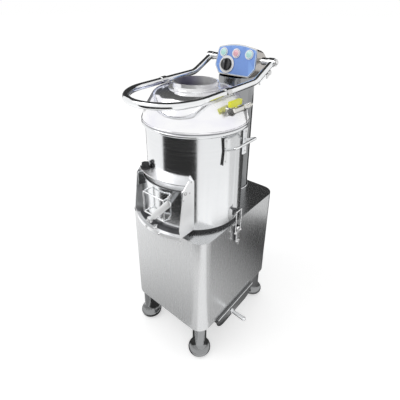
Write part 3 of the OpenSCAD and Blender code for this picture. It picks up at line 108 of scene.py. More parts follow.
# Noise scales, shares and depths that the materials have in common.
BRUSH_DETAIL, BRUSH_ROUGH = 4.0, 0.65
FINE_DETAIL, CLOUD_DETAIL = 3.0, 2.0
# The pointiness span of the painted edge highlight; its steel and plastic tones follow.
EDGE_HIGHLIGHT_SPAN = (0.5, 0.56)
STEEL_CLOUD, STEEL_CLOUD_SHARE, STEEL_CLOUD_TONE = 5.0, 0.35, 0.93
STEEL_EDGE_HIGHLIGHT, STEEL_BUMP = 1.15, 0.001
PLASTIC_CLOUD, PLASTIC_CLOUD_SHARE, PLASTIC_CLOUD_TONE = 14.0, 0.3, 0.9
PLASTIC_EDGE_HIGHLIGHT, PLASTIC_EDGE_HIGHLIGHT_LIFT, PLASTIC_BUMP = 1.25, 0.01, 0.0006
PLASTIC_ROUGH_LOW, PLASTIC_ROUGH_HIGH, PLASTIC_COAT_ROUGH = 0.85, 1.2, 0.08
LID_CLOUD, LID_CLOUD_STRETCH, LID_CLOUD_SHARE, LID_CLOUD_SPAN = 7.0, (1, 1, 2.5), 0.6, (0.45, 0.7)
LID_FINE, LID_ROUGH, LID_BUMP, LID_BUMP_DEPTH = 60.0, (0.09, 0.16), 0.03, 0.0008
LID_IOR, LID_COAT, LID_COAT_ROUGH = 1.45, 0.6, 0.05
# LID_HIGHLIGHT_PEARL is the pearl at the painted highlight spot.
LID_GLOW_REACH, LID_HIGHLIGHT_PEARL = 0.02, 0.12


def shader(name):
    mat = bpy.data.materials.new(name)
    mat.use_nodes = True
    tree = mat.node_tree
    return mat, tree, tree.nodes["Principled BSDF"]


def add(tree, kind, **values):
    """A node; values name its attributes or, with _ for a space, its inputs."""
    made = tree.nodes.new(kind)
    for key, value in values.items():
        if hasattr(made, key):
            setattr(made, key, value)
        else:
            made.inputs[key.replace("_", " ")].default_value = value
    return made


def noise(tree, scale, stretch=(1, 1, 1), detail=FINE_DETAIL, rough=0.5):
    place = add(tree, "ShaderNodeTexCoord")
    mapped = add(tree, "ShaderNodeMapping")
    mapped.inputs["Scale"].default_value = stretch
    tree.links.new(place.outputs["Object"], mapped.inputs["Vector"])
    made = add(tree, "ShaderNodeTexNoise", Scale=scale, Detail=detail, Roughness=rough)
    tree.links.new(mapped.outputs["Vector"], made.inputs["Vector"])
    return made.outputs["Fac"]


def span(tree, value, low, high, from_low=0.3, from_high=0.7):
    """Maps a value from one range to another; the default range is that of a noise."""
    made = add(tree, "ShaderNodeMapRange")
    made.inputs["From Min"].default_value = from_low
    made.inputs["From Max"].default_value = from_high
    made.inputs["To Min"].default_value = low
    made.inputs["To Max"].default_value = high
    tree.links.new(value, made.inputs["Value"])
    return made.outputs["Result"]


def mix_colour(tree, fac, a, b):
    """Mixes two colours; each input is a socket or a value."""
    made = tree.nodes.new("ShaderNodeMix")
    made.data_type = "RGBA"
    factor, first, second = made.inputs[0], made.inputs[6], made.inputs[7]
    tree.links.new(fac, factor)
    for value, socket in ((a, first), (b, second)):
        if isinstance(value, bpy.types.NodeSocket):
            tree.links.new(value, socket)
        else:
            socket.default_value = (*value[:3], 1)
    return made.outputs[2]


def tinted(colour, share, lift=0.0):
    return tuple(min(1.0, c * share + lift) for c in colour)


def bump(tree, bsdf, height, strength, distance):
    made = add(tree, "ShaderNodeBump", Strength=strength, Distance=distance)
    tree.links.new(height, made.inputs["Height"])
    tree.links.new(made.outputs["Normal"], bsdf.inputs["Normal"])


def painted_edge_highlight(tree):
    """Rises on sharp outer edges: a painted edge highlight."""
    shape = add(tree, "ShaderNodeNewGeometry")
    return span(tree, shape.outputs["Pointiness"], 0.0, 1.0, *EDGE_HIGHLIGHT_SPAN)


def gap_from(tree, place, flat=False):
    """The distance of the surface from a place, in plan if flat."""
    where = add(tree, "ShaderNodeTexCoord").outputs["Object"]
    if flat:
        plan = add(tree, "ShaderNodeVectorMath", operation="MULTIPLY")
        plan.inputs[1].default_value = (1, 1, 0)
        tree.links.new(where, plan.inputs[0])
        where = plan.outputs[0]
    gap = add(tree, "ShaderNodeVectorMath", operation="DISTANCE")
    gap.inputs[1].default_value = place
    tree.links.new(where, gap.inputs[0])
    return gap.outputs["Value"]


def spot(tree, place, near, far):
    """1 at a place on the surface, 0 beyond far."""
    return span(tree, gap_from(tree, place), 1.0, 0.0, near, far)


def steel(name, colour, rough, grain, spread, tone, scratch=0.03, fine=9.0):
    """Brushed or polished stainless steel. grain stretches the brush marks."""
    mat, tree, bsdf = shader(name)
    bsdf.inputs["Metallic"].default_value = 1.0
    brush = noise(tree, fine, grain, BRUSH_DETAIL, BRUSH_ROUGH)
    cloud = noise(tree, STEEL_CLOUD, detail=CLOUD_DETAIL)
    base = mix_colour(tree, span(tree, brush, 0, 1), tinted(colour, 1 - tone), tinted(colour, 1 + tone))
    base = mix_colour(tree, span(tree, cloud, 0, STEEL_CLOUD_SHARE), base, tinted(colour, STEEL_CLOUD_TONE))
    # Painted highlight on sharp outer edges.
    base = mix_colour(tree, painted_edge_highlight(tree), base, tinted(colour, STEEL_EDGE_HIGHLIGHT))
    tree.links.new(base, bsdf.inputs["Base Color"])
    mixed = add(tree, "ShaderNodeMath", operation="ADD")
    tree.links.new(span(tree, brush, rough - spread, rough + spread), mixed.inputs[0])
    tree.links.new(span(tree, cloud, -spread / 2, spread / 2), mixed.inputs[1])
    tree.links.new(mixed.outputs[0], bsdf.inputs["Roughness"])
    bump(tree, bsdf, brush, scratch, STEEL_BUMP)
    return mat


def plastic(name, colour, rough, speck, fine, depth, coat=0.0):
    mat, tree, bsdf = shader(name)
    grain = noise(tree, fine)
    cloud = noise(tree, PLASTIC_CLOUD, detail=CLOUD_DETAIL)
    base = mix_colour(tree, span(tree, grain, 0, 1), tinted(colour, 1 - speck), tinted(colour, 1 + speck))
    patches = tinted(colour, PLASTIC_CLOUD_TONE)
    base = mix_colour(tree, span(tree, cloud, 0, PLASTIC_CLOUD_SHARE), base, patches)
    # Painted highlight on sharp outer edges.
    base = mix_colour(tree, painted_edge_highlight(tree), base, tinted(colour, PLASTIC_EDGE_HIGHLIGHT, PLASTIC_EDGE_HIGHLIGHT_LIFT))
    tree.links.new(base, bsdf.inputs["Base Color"])
    rough_high = min(1, rough * PLASTIC_ROUGH_HIGH)
    tree.links.new(span(tree, cloud, rough * PLASTIC_ROUGH_LOW, rough_high), bsdf.inputs["Roughness"])
    bsdf.inputs["Coat Weight"].default_value = coat
    bsdf.inputs["Coat Roughness"].default_value = PLASTIC_COAT_ROUGH
    bump(tree, bsdf, grain, depth, PLASTIC_BUMP)
    return mat


def clear_plastic(name, tint, haze, clear, pearl, glow, painted_mark, spots):
    """Moulded polycarbonate: a milky body under a glossy skin, with violet-grey tints at random, placed tint
    spots that are painted reflections and shade, and a placed spot of less pearl that is a painted
    highlight.
    """
    mat, tree, bsdf = shader(name)
    cloud = noise(tree, LID_CLOUD, LID_CLOUD_STRETCH, CLOUD_DETAIL)
    fine = noise(tree, LID_FINE)
    base = mix_colour(tree, span(tree, cloud, 0, LID_CLOUD_SHARE, *LID_CLOUD_SPAN), haze, tint)
    # Placed tint spots: painted reflections and shade.
    for colour, place, near, far in spots:
        base = mix_colour(tree, spot(tree, place, near, far), base, colour)
    tree.links.new(base, bsdf.inputs["Base Color"])
    tree.links.new(span(tree, fine, *LID_ROUGH), bsdf.inputs["Roughness"])
    bsdf.inputs["Transmission Weight"].default_value = clear
    # Less pearl at a placed spot, so the skin shows its white body there: a painted highlight.
    tree.links.new(span(tree, spot(tree, *painted_mark), pearl, LID_HIGHLIGHT_PEARL, 0, 1), bsdf.inputs["Metallic"])
    bsdf.inputs["Subsurface Weight"].default_value = glow
    bsdf.inputs["Subsurface Radius"].default_value = (1, 1, 1)
    bsdf.inputs["Subsurface Scale"].default_value = LID_GLOW_REACH
    bsdf.inputs["IOR"].default_value = LID_IOR
    bsdf.inputs["Coat Weight"].default_value = LID_COAT
    bsdf.inputs["Coat Roughness"].default_value = LID_COAT_ROUGH
    bump(tree, bsdf, fine, LID_BUMP, LID_BUMP_DEPTH)
    return mat


# Stretches of the brush marks.
UPRIGHT, HOOPED, LEVEL, EVEN = (1, 1, 0.03), (0.2, 0.2, 12), (0.6, 0.6, 3), (6, 6, 6)
UPRIGHT_SHORT, DRUM_HOOPED, TURNED = (1, 1, 0.2), (0.08, 0.08, 14), (0.2, 0.2, 20)
PLAIN, BLASTED, LYING, ACROSS, ALONG = (1, 1, 1), (2, 2, 2), (1, 1, 6), (1, 6, 1), (6, 1, 1)

# Key: name, colour, roughness, stretch of the marks, spread, tone, then depth and noise scale if special.
STEELS = {
    "sheet": ("satin_sheet", (0.58, 0.585, 0.59), 0.27, UPRIGHT, 0.012, 0.012, 0.002, 130.0),
    "column": ("satin_column", (0.27, 0.275, 0.28), 0.16, UPRIGHT, 0.02, 0.02, 0.004, 130.0),
    "head": ("satin_head", (0.40, 0.38, 0.36), 0.24, UPRIGHT_SHORT, 0.03, 0.03, 0.006, 90.0),
    "drum": ("polished_drum", (0.76, 0.77, 0.78), 0.16, DRUM_HOOPED, 0.05, 0.035, 0.02),
    "tube": ("polished_tube", (0.84, 0.85, 0.86), 0.12, PLAIN, 0.04, 0.03, 0.01),
    "chute": ("satin_chute", (0.82, 0.825, 0.83), 0.38, LEVEL, 0.04, 0.03),
    "door": ("polished_door", (0.72, 0.73, 0.74), 0.17, LEVEL, 0.05, 0.05),
    "hood": ("blasted_hood", (0.86, 0.86, 0.87), 0.42, BLASTED, 0.05, 0.04),
    # The feet's dark grey is a darker copy of the polished steel: painted shade round the feet.
    "foot": ("polished_foot", (0.29, 0.295, 0.30), 0.19, HOOPED, 0.05, 0.05),
    "latch": ("plated_latch", (0.90, 0.90, 0.91), 0.26, EVEN, 0.05, 0.04),
    # The lip's near-black is painted shade: the shadow of the door on the chute floor.
    "lip": ("shaded_lip", (0.09, 0.09, 0.095), 0.35, LYING, 0.05, 0.06),
    "shut": ("blackened_base", (0.10, 0.10, 0.105), 0.34, EVEN, 0.05, 0.08),
    "bolt": ("bright_bolt", (0.56, 0.56, 0.56), 0.20, EVEN, 0.06, 0.08),
    "dark": ("shaded_steel", (0.34, 0.35, 0.36), 0.34, LYING, 0.06, 0.08),
    "turned": ("turned_steel", (0.52, 0.53, 0.55), 0.25, TURNED, 0.06, 0.06),
    "brass": ("nickel_brass", (0.70, 0.69, 0.66), 0.20, ACROSS, 0.06, 0.06),
    # The tray's near-black is a darker copy of the steel: painted shade under the cabinet.
    "tray": ("tray_steel", (0.17, 0.172, 0.175), 0.2, ALONG, 0.05, 0.05),
}
# Key: name, colour, roughness, speck, noise scale, depth, then the gloss coat if any.
PLASTICS = {
    "rubber": ("black_rubber", (0.022, 0.022, 0.024), 0.62, 0.2, 400.0, 0.15),
    "pale_rubber": ("pale_rubber", (0.42, 0.42, 0.44), 0.5, 0.1, 400.0, 0.1),
    "black": ("black_plastic", (0.016, 0.016, 0.018), 0.30, 0.15, 300.0, 0.08, 0.3),
    "grit": ("grit_coating", (0.20, 0.21, 0.23), 0.85, 0.45, 900.0, 0.9),
    "cast": ("cast_enamel", (0.16, 0.17, 0.19), 0.5, 0.15, 250.0, 0.35),
    "motor": ("motor_enamel", (0.09, 0.11, 0.15), 0.4, 0.12, 200.0, 0.2, 0.2),
    "blue": ("blue_laminate", (0.20, 0.38, 0.88), 0.30, 0.05, 260.0, 0.05, 0.4),
    "pale": ("pale_print", (0.72, 0.90, 0.97), 0.34, 0.04, 260.0, 0.04),
    "ring": ("white_ring", (0.90, 0.93, 0.95), 0.28, 0.03, 200.0, 0.03, 0.4),
    "green": ("green_lens", (0.50, 0.86, 0.80), 0.18, 0.04, 90.0, 0.03, 0.8),
    "pink": ("pink_lens", (0.90, 0.46, 0.55), 0.18, 0.04, 90.0, 0.03, 0.8),
    "yellow": ("yellow_grip", (0.86, 0.84, 0.03), 0.34, 0.05, 220.0, 0.06, 0.3),
}
# Name, tint, haze, clearness, pearl, glow, the painted highlight spot with less pearl (place, near, far),
# and the painted reflection and shade spots (colour, place, near, far).
# Colours of the painted reflection and shade spots on the lid.
VIOLET, LILAC, COOL = (0.42, 0.39, 0.56), (0.55, 0.52, 0.74), (0.78, 0.82, 1.0)
HAZE = (0.99, 0.99, 1.0)
DOME = ("clear_dome", (0.86, 0.85, 0.94), HAZE, 0.03, 0.90, 0.0, (at(90, 40, 1115), 0.06, 0.15),
        [(COOL, at(-97, -60, 1105), 0.045, 0.10), (VIOLET, at(-120, -10, 1090), 0.02, 0.075),
         (LILAC, at(95, 60, 1100), 0.02, 0.07)])
COLLAR = ("clear_collar", (0.88, 0.87, 0.96), HAZE, 0.05, 0.60, 0.2, (at(70, 60, 1140), 0.10, 0.15),
          [(LILAC, at(-70, 30, 1130), 0.02, 0.07)])

M = {key: steel(*row) for key, row in STEELS.items()}
M.update((key, plastic(*row)) for key, row in PLASTICS.items())
M["dome"], M["collar"] = clear_plastic(*DOME), clear_plastic(*COLLAR)

FINISH = {
    "sheet": ["cabinet_shell", "floor_pan", "access_cover"],
    "column": ["column"],
    "head": ["control_box"],
    "drum": ["drum_shell"],
    "tube": ["safety_bar", "side_handle_left", "side_handle_right", "door_handle", "tray_handle"],
    "chute": ["chute", "cam_lever"],
    "door": ["door"],
    "hood": ["chute_hood"],
    "foot": ["foot_front_left", "foot_front_right", "foot_rear_left", "foot_rear_right"],
    "bolt": ["wing_bolt", "lid_saddles", "bar_pivots"],
    "latch": ["door_keeper", "latch_lever_left", "latch_lever_right", "latch_bail_left", "latch_bail_right"],
    "shut": ["latch_bases", "latch_keepers"],
    "dark": ["catch_trough", "waste_pipe"],
    "turned": ["main_shaft", "turntable_nut", "bearings", "motor_shaft"],
    "brass": ["valve_body"],
    "tray": ["peel_tray"],
    "rubber": ["base_gasket", "door_seal", "door_bumper", "shaft_seal", "drum_stay", "drive_belt"],
    "pale_rubber": ["lid_gasket"],
    "black": ["switch_blocks", "cable_gland", "timer_knob"],
    "grit": ["abrasive_liner", "turntable"],
    "cast": ["bearing_housing", "driven_pulley", "motor_mount"],
    "motor": ["motor"],
    "blue": ["control_panel"],
    "green": ["start_button", "pulse_button"],
    "pink": ["stop_button"],
    "yellow": ["valve_lever"],
    "dome": ["lid_dome"],
    "collar": ["feed_collar"],
}


def paint(obj, mat):
    obj.data.materials.clear()
    obj.data.materials.append(mat)
    for poly in obj.data.polygons:
        poly.material_index = 0


for key, names in FINISH.items():
    for name in names:
        paint(cad[name], M[key])

# The lip's floor, under this height and with a normal this far up, gets painted shade inside a radius in
# metres.
LIP_TOP, LIP_UP = 690, 0.1
LIP_SHADE_END, LIP_BRIGHT_FROM, LIP_BRIGHT = 0.234, 0.237, (0.88, 0.88, 0.89)


def shade_lip():
    """Paints shade on the lip's floor behind its rolled edge, so the floor is darker than the edge."""
    tree = M["lip"].node_tree
    base = tree.nodes["Principled BSDF"].inputs["Base Color"]
    painted_mark = base.links[0].from_socket
    rim = span(tree, gap_from(tree, AXIS, flat=True), 0.0, 1.0, LIP_SHADE_END, LIP_BRIGHT_FROM)
    # Painted shade on the floor inside the radius; the rolled edge keeps its own colour beyond it.
    tree.links.new(mix_colour(tree, rim, painted_mark, LIP_BRIGHT), base)
    obj = cad["chute"]
    obj.data.materials.append(M["lip"])
    for poly in obj.data.polygons:
        place = (poly.center - AXIS) / MM
        if poly.normal.z > LIP_UP and place.z < LIP_TOP:
            poly.material_index = 1


shade_lip()

WELD = 1e-6
SPLIT_ANGLE, RADIUS_ANGLE, PIECE_SPLIT_ANGLE = 32, 40, 35
EDGE_RADII = {"valve_lever": 1.6, "cam_lever": 0.7, "latch_lever_left": 0.5, "latch_lever_right": 0.5,
              "drum_stay": 1.0}


def split_edges(obj, angle):
    """Smooth shading that keeps true edges."""
    split = obj.modifiers.new("split", "EDGE_SPLIT")
    split.split_angle = math.radians(angle)
    for poly in obj.data.polygons:
        poly.use_smooth = True


for name, obj in cad.items():
    obj.modifiers.new("weld", "WELD").merge_threshold = WELD
    if name in EDGE_RADII:
        made = obj.modifiers.new("radius", "BEVEL")
        made.width = EDGE_RADII[name] * MM
        made.segments = 2
        made.limit_method = "ANGLE"
        made.angle_limit = math.radians(RADIUS_ANGLE)
    split_edges(obj, SPLIT_ANGLE)


# Mesh code. Lengths in it are in metres.
NEAR_PARALLEL = 0.95
PIPE_HINT = (0.13, 0.21, 0.97)
WASHER_SHARE, HEX_WALL_SHARE, HEX_TOP_SHARE = 0.18, 0.8, 0.86
CROWN_WALL_SHARE = 0.35
# Steps round a whole turn, or up a crown.
TUBE_SIDES, RIB_SIDES, TRAY_HEM_SIDES = 8, 6, 10
HEX_SIDES, WASHER_STEPS, HEAD_STEPS, CROWN_STEPS = 6, 24, 20, 6
RING_STEPS, LENS_STEPS, LENS_CROWN_STEPS, FLANGE_STEPS = 56, 40, 7, 24
BARB_STEPS, LID_HEM_STEPS, PULL_STEPS = 28, 120, 20


def piece(name, build, mat, body):
    """A new object from a bmesh builder, riding on a body."""
    data = bpy.data.meshes.new(name)
    mesh = bmesh.new()
    build(mesh)
    bmesh.ops.remove_doubles(mesh, verts=mesh.verts, dist=WELD)
    bmesh.ops.recalc_face_normals(mesh, faces=mesh.faces)
    mesh.to_mesh(data)
    mesh.free()
    obj = bpy.data.objects.new(name, data)
    scene.collection.objects.link(obj)
    data.materials.append(mat)
    split_edges(obj, PIECE_SPLIT_ANGLE)
    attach(obj, body)


def basis(place, direction, hint=(0, 0, 1)):
    """A matrix that puts local z along direction at place."""
    z = Vector(direction).normalized()
    hint = Vector(hint)
    if abs(z.dot(hint)) > NEAR_PARALLEL:
        hint = Vector((1, 0, 0))
    x = hint.cross(z).normalized()
    y = z.cross(x)
    turn = Matrix((x, y, z)).transposed().to_4x4()
    return Matrix.Translation(place) @ turn


def turns(count):
    return [2 * math.pi * i / count for i in range(count)]


def join_rings(mesh, pairs):
    for low, high in pairs:
        for i in range(len(low)):
            j = (i + 1) % len(low)
            mesh.faces.new((low[i], low[j], high[j], high[i]))


def revolve(mesh, profile, matrix, steps):
    """profile is a list of (radius, height); the ends close on the axis where the radius is 0."""
    rings = []
    for r, h in profile:
        if r < WELD:
            rings.append([mesh.verts.new(matrix @ Vector((0, 0, h)))])
        else:
            rings.append([mesh.verts.new(matrix @ Vector((r * math.cos(a), r * math.sin(a), h)))
                          for a in turns(steps)])
    for low, high in zip(rings, rings[1:]):
        if len(low) == len(high) > 1:
            join_rings(mesh, [(low, high)])
            continue
        for i in range(steps):
            j = (i + 1) % steps
            if len(low) == 1 and len(high) > 1:
                mesh.faces.new((low[0], high[i], high[j]))
            elif len(high) == 1 and len(low) > 1:
                mesh.faces.new((low[i], low[j], high[0]))


def hex_head(mesh, place, direction, across, height, washer=0.0):
    """A chamfered six-sided head on a washer."""
    matrix = basis(place, direction)
    r = across / math.sqrt(3)
    base = 0.0
    if washer:
        base = height * WASHER_SHARE
        revolve(mesh, [(0, 0), (washer, 0), (washer, base), (0, base)], matrix, WASHER_STEPS)
    levels = [(r, base), (r, base + height * HEX_WALL_SHARE), (r * HEX_TOP_SHARE, base + height)]
    rings = [[mesh.verts.new(matrix @ Vector((q * math.cos(a), q * math.sin(a), h)))
              for a in turns(HEX_SIDES)] for q, h in levels]
    join_rings(mesh, zip(rings, rings[1:]))
    mesh.faces.new(rings[-1])
    mesh.faces.new(list(reversed(rings[0])))


def crown_profile(r, h, steps):
    """Quarter of an ellipse from its rim up to its top."""
    angles = [math.pi / 2 * i / steps for i in range(steps)]
    return [(r * math.cos(a), h * math.sin(a)) for a in angles] + [(0, h)]


def ring_profile(inner, outer, height):
    """A flat ring, chamfered at its outer top edge."""
    edge = height / 2
    wall = [(outer - edge, height), (outer, height - edge), (outer, 0)]
    return [(inner, 0), (inner, height)] + wall + [(inner, 0)]


def dome_head(mesh, place, direction, r, h):
    """A pan-head screw or rivet with a shallow crown."""
    wall = h * CROWN_WALL_SHARE
    crown = [(q, wall + up) for q, up in crown_profile(r, h - wall, CROWN_STEPS)]
    revolve(mesh, [(0, 0), (r, 0)] + crown, basis(place, direction), HEAD_STEPS)


def tube(mesh, points, radius, sides=TUBE_SIDES, closed=False):
    """A round bar along points."""
    count = len(points)
    rings = []
    for i, p in enumerate(points):
        ahead = points[(i + 1) % count] if closed or i < count - 1 else p
        behind = points[i - 1] if closed or i > 0 else p
        matrix = basis(p, ahead - behind, PIPE_HINT)
        rings.append([mesh.verts.new(matrix @ Vector((radius * math.cos(a), radius * math.sin(a), 0)))
                      for a in turns(sides)])
    join_rings(mesh, list(zip(rings, rings[1:])) + ([(rings[-1], rings[0])] if closed else []))
    if not closed:
        mesh.faces.new(list(reversed(rings[0])))
        mesh.faces.new(rings[-1])


trees = {}


def skin(node, start, direction):
    """Where a ray in mm from the drum axis meets a node, and the outward normal there."""
    if node not in trees:
        data = cad[node].data
        faces = [p.vertices for p in data.polygons]
        trees[node] = BVHTree.FromPolygons([v.co for v in data.vertices], faces)
    way = Vector(direction).normalized()
    place, normal, _, _ = trees[node].ray_cast(at(*start), way)
    if normal.dot(way) > 0:
        normal = -normal
    return place, normal


def heads(name, body, spots, kind, *sizes):
    """Bolt or rivet heads seated on the skin of nodes; each spot is (node, start, direction)."""
    def build(mesh):
        for spot_at in spots:
            place, normal = skin(*spot_at)
            kind(mesh, place, normal, *[value * MM for value in sizes])
    piece(name, build, M["bolt"], body)


# The panel: its plane, and pieces on it. x and u run across and up the panel, far off it, in metres.
FACING, PANEL_FACING = 0.5, Vector((0, -1, 0.25))
RAISED, ON_PLANE, SAME_POINT = 0.3, 0.01, 0.2


def plate(name, facing):
    """The normal and the distance of a node's largest flat face that looks along facing."""
    sums = {}
    data = cad[name].data
    for poly in data.polygons:
        if poly.normal.dot(facing) > FACING:
            far = poly.normal.dot(data.vertices[poly.vertices[0]].co)
            key = (*(round(c, 2) for c in poly.normal), round(far, 4))
            area = sums.get(key, (0,))[0] + poly.area
            sums[key] = (area, poly.normal.copy(), far)
    _, normal, far = max(sums.values(), key=lambda item: item[0])
    return normal, far


PANEL_N, PANEL_FAR = plate("control_panel", PANEL_FACING.normalized())
PANEL_X = Vector((1, 0, 0))
PANEL_U = PANEL_N.cross(PANEL_X)


def on_panel(x, u, far=0.0):
    return PANEL_X * x + PANEL_U * u + PANEL_N * (PANEL_FAR + far)


def panel_round(name):
    """Middle, radius and reach above the panel of a round node on it."""
    points = [v.co for v in cad[name].data.vertices]
    across = [p.x for p in points]
    along = [p.dot(PANEL_U) for p in points if p.dot(PANEL_N) > PANEL_FAR]
    x, u = (min(across) + max(across)) / 2, (min(along) + max(along)) / 2
    return x, u, (max(across) - min(across)) / 2, max(p.dot(PANEL_N) for p in points) - PANEL_FAR


def rim_round(x, u, reach):
    """Radius and height of the raised ring that the panel has round a place."""
    wide, tall = 0.0, 0.0
    for vertex in cad["control_panel"].data.vertices:
        far = vertex.co.dot(PANEL_N) - PANEL_FAR
        gap = math.hypot(vertex.co.x - x, vertex.co.dot(PANEL_U) - u)
        if far > RAISED * MM and gap < reach:
            wide, tall = max(wide, gap), max(tall, far)
    return wide, tall


def panel_ring(name, x, u, inner, outer, base, height, mat, body):
    lap = 0.05 * MM
    matrix = basis(on_panel(x, u, base - lap), PANEL_N, PANEL_U)
    profile = ring_profile(inner, outer, height)
    piece(name, lambda mesh: revolve(mesh, profile, matrix, RING_STEPS), mat, body)


def inset(points, gap):
    """A convex outline drawn in by gap."""
    count, least = len(points), 0.5
    out = []
    for i, p in enumerate(points):
        before = (p - points[i - 1]).normalized()
        after = (points[(i + 1) % count] - p).normalized()
        side = Vector((-(before + after).y, (before + after).x)).normalized()
        out.append(p + side * gap / max(least, side.dot(Vector((-after.y, after.x)))))
    return out


def make_panel_border():
    flat = [Vector((v.co.x, v.co.dot(PANEL_U))) for v in cad["control_panel"].data.vertices
            if abs(v.co.dot(PANEL_N) - PANEL_FAR) < ON_PLANE * MM]
    hull = [flat[i] for i in convex_hull_2d(flat)]
    outline = [p for i, p in enumerate(hull) if (p - hull[i - 1]).length > SAME_POINT * MM]
    area = sum(a.x * b.y - b.x * a.y for a, b in zip(outline, outline[1:] + outline[:1]))
    if area < 0:
        outline.reverse()
    strip_out, strip_in, thick = 0.6 * MM, 2.4 * MM, 0.35 * MM
    corners = ((strip_out, -thick / 4), (strip_out, thick), (strip_in, thick), (strip_in, -thick / 4))

    def build(mesh):
        loops = [[mesh.verts.new(on_panel(p.x, p.y, far)) for p in inset(outline, gap)]
                 for gap, far in corners]
        join_rings(mesh, zip(loops, loops[1:] + loops[:1]))
    piece("panel_border", build, M["pale"], "frame")


def make_button_trim():
    """A white ring round each button, and a frosted edge and a domed lens on it."""
    rim_reach, ring_gap, ring_in, ring_h = 4.5 * MM, 0.7 * MM, 0.1 * MM, 0.6 * MM
    edge_out, edge_in, edge_h = 0.3 * MM, 2.6 * MM, 0.5 * MM
    lens_in, lens_sink, crown = 2.7 * MM, 0.1 * MM, 1.8 * MM
    for body, mat in (("start", "green"), ("stop", "pink"), ("pulse", "green")):
        x, u, r, top = panel_round(body + "_button")
        wide, tall = rim_round(x, u, r + rim_reach)
        panel_ring(body + "_ring", x, u, r + ring_gap, wide - ring_in, tall, ring_h, M["ring"], "frame")
        panel_ring(body + "_edge", x, u, r - edge_in, r - edge_out, top, edge_h, M["ring"], body)
        lens_r = r - lens_in
        profile = [(0, -lens_sink), (lens_r, -lens_sink)] + crown_profile(lens_r, crown, LENS_CROWN_STEPS)
        matrix = basis(on_panel(x, u, top), PANEL_N, PANEL_U)
        piece(body + "_lens", lambda mesh, q=profile, m=matrix: revolve(mesh, q, m, LENS_STEPS),
              M[mat], body)


def make_knob_trim():
    x, u, r, top = panel_round("timer_knob")
    rim_share = 1.6
    wide, tall = rim_round(x, u, r * rim_share)
    skirt, skirt_lap, skirt_up, skirt_h = 2.4 * MM, 0.3 * MM, 0.4 * MM, 1.6 * MM
    ring_gap, ring_in, ring_h = 0.4 * MM, 0.1 * MM, 0.7 * MM
    panel_ring("knob_skirt", x, u, r - skirt_lap, r + skirt, tall + skirt_up, skirt_h, M["black"], "knob")
    panel_ring("knob_ring", x, u, r + skirt + ring_gap, wide - ring_in, tall, ring_h, M["ring"], "frame")
    line_end, line_r = 0.62 * r, 0.6 * MM
    line_start = 0.3 * line_end
    ribs, rib_in, rib_low, rib_high, rib_r = 28, 0.2 * MM, 0.6 * MM, 5 * MM, 0.55 * MM

    def knob_line(mesh):
        tube(mesh, [on_panel(x, u + line_start, top), on_panel(x, u + line_end, top)], line_r)
    piece("knob_line", knob_line, M["ring"], "knob")

    def knob_ribs(mesh):
        for turn in turns(ribs):
            rib = x + (r - rib_in) * math.cos(turn), u + (r - rib_in) * math.sin(turn)
            tube(mesh, [on_panel(*rib, tall + rib_low), on_panel(*rib, tall + rib_high)], rib_r, RIB_SIDES)
    piece("knob_ribs", knob_ribs, M["black"], "knob")


def make_tray_hem():
    low, high = mm_box("peel_tray")
    wire = 1.6

    def hem(mesh):
        points = [at(high.x - wire, y, high.z - wire) for y in (low.y + wire, 0, high.y - wire)]
        tube(mesh, points, wire * MM, TRAY_HEM_SIDES)
    piece("tray_hem", hem, M["tube"], "tray")


def make_chute_trim():
    _, high = mm_box("chute")
    rivet_r, rivet_h = 3.4, 2.0
    rows = [("chute", (s * OUTSIDE, y, z), (-s, 0, 0)) for s in (-1, 1) for y, z in CHEEK_RIVETS]
    heads("cheek_rivets", "frame", rows, dome_head, rivet_r, rivet_h)
    pin_out, pin_r, pin_h = 0.3, 6.5 * MM, 3.5 * MM

    def pin_heads(mesh):
        for s in (-1, 1):
            dome_head(mesh, at(s * (high.x + pin_out), HINGE_Y, HINGE_Z), (s, 0, 0), pin_r, pin_h)
    piece("hinge_heads", pin_heads, M["bolt"], "door_leaf")
    hex_across, hex_h, washer_r = 8.5, 4.0, 5.6
    rows = [("chute", (x, -OUTSIDE, HEM_Z), (0, 1, 0)) for x in HEM_X]
    heads("hem_bolts", "frame", rows, hex_head, hex_across, hex_h, washer_r)
    flange_in, flange_out, flange_h = 3.4 * MM, 7 * MM, 1.2 * MM
    flange = ring_profile(flange_in, flange_out, flange_h)

    def flanges(mesh):
        for s in (-1, 1):
            for z in WIRE_Z:
                place, _ = skin("door", (s * WIRE_X, -OUTSIDE, z), (0, 1, 0))
                revolve(mesh, flange, basis(place, (0, -1, 0)), FLANGE_STEPS)
    piece("wire_flanges", flanges, M["bolt"], "door_leaf")
    tip = mm_box("door")[0].y
    lap, nut_across, nut_h = 0.05, 14 * MM, 4.5 * MM
    cap_up, cap_r, cap_h = 4.4, 3.6 * MM, 3 * MM

    def cam_nut(mesh):
        hex_head(mesh, at(CAM_X, tip - lap, CAM_Z), (0, -1, 0), nut_across, nut_h)
        dome_head(mesh, at(CAM_X, tip - cap_up, CAM_Z), (0, -1, 0), cap_r, cap_h)
    piece("cam_nut", cam_nut, M["bolt"], "door_leaf")


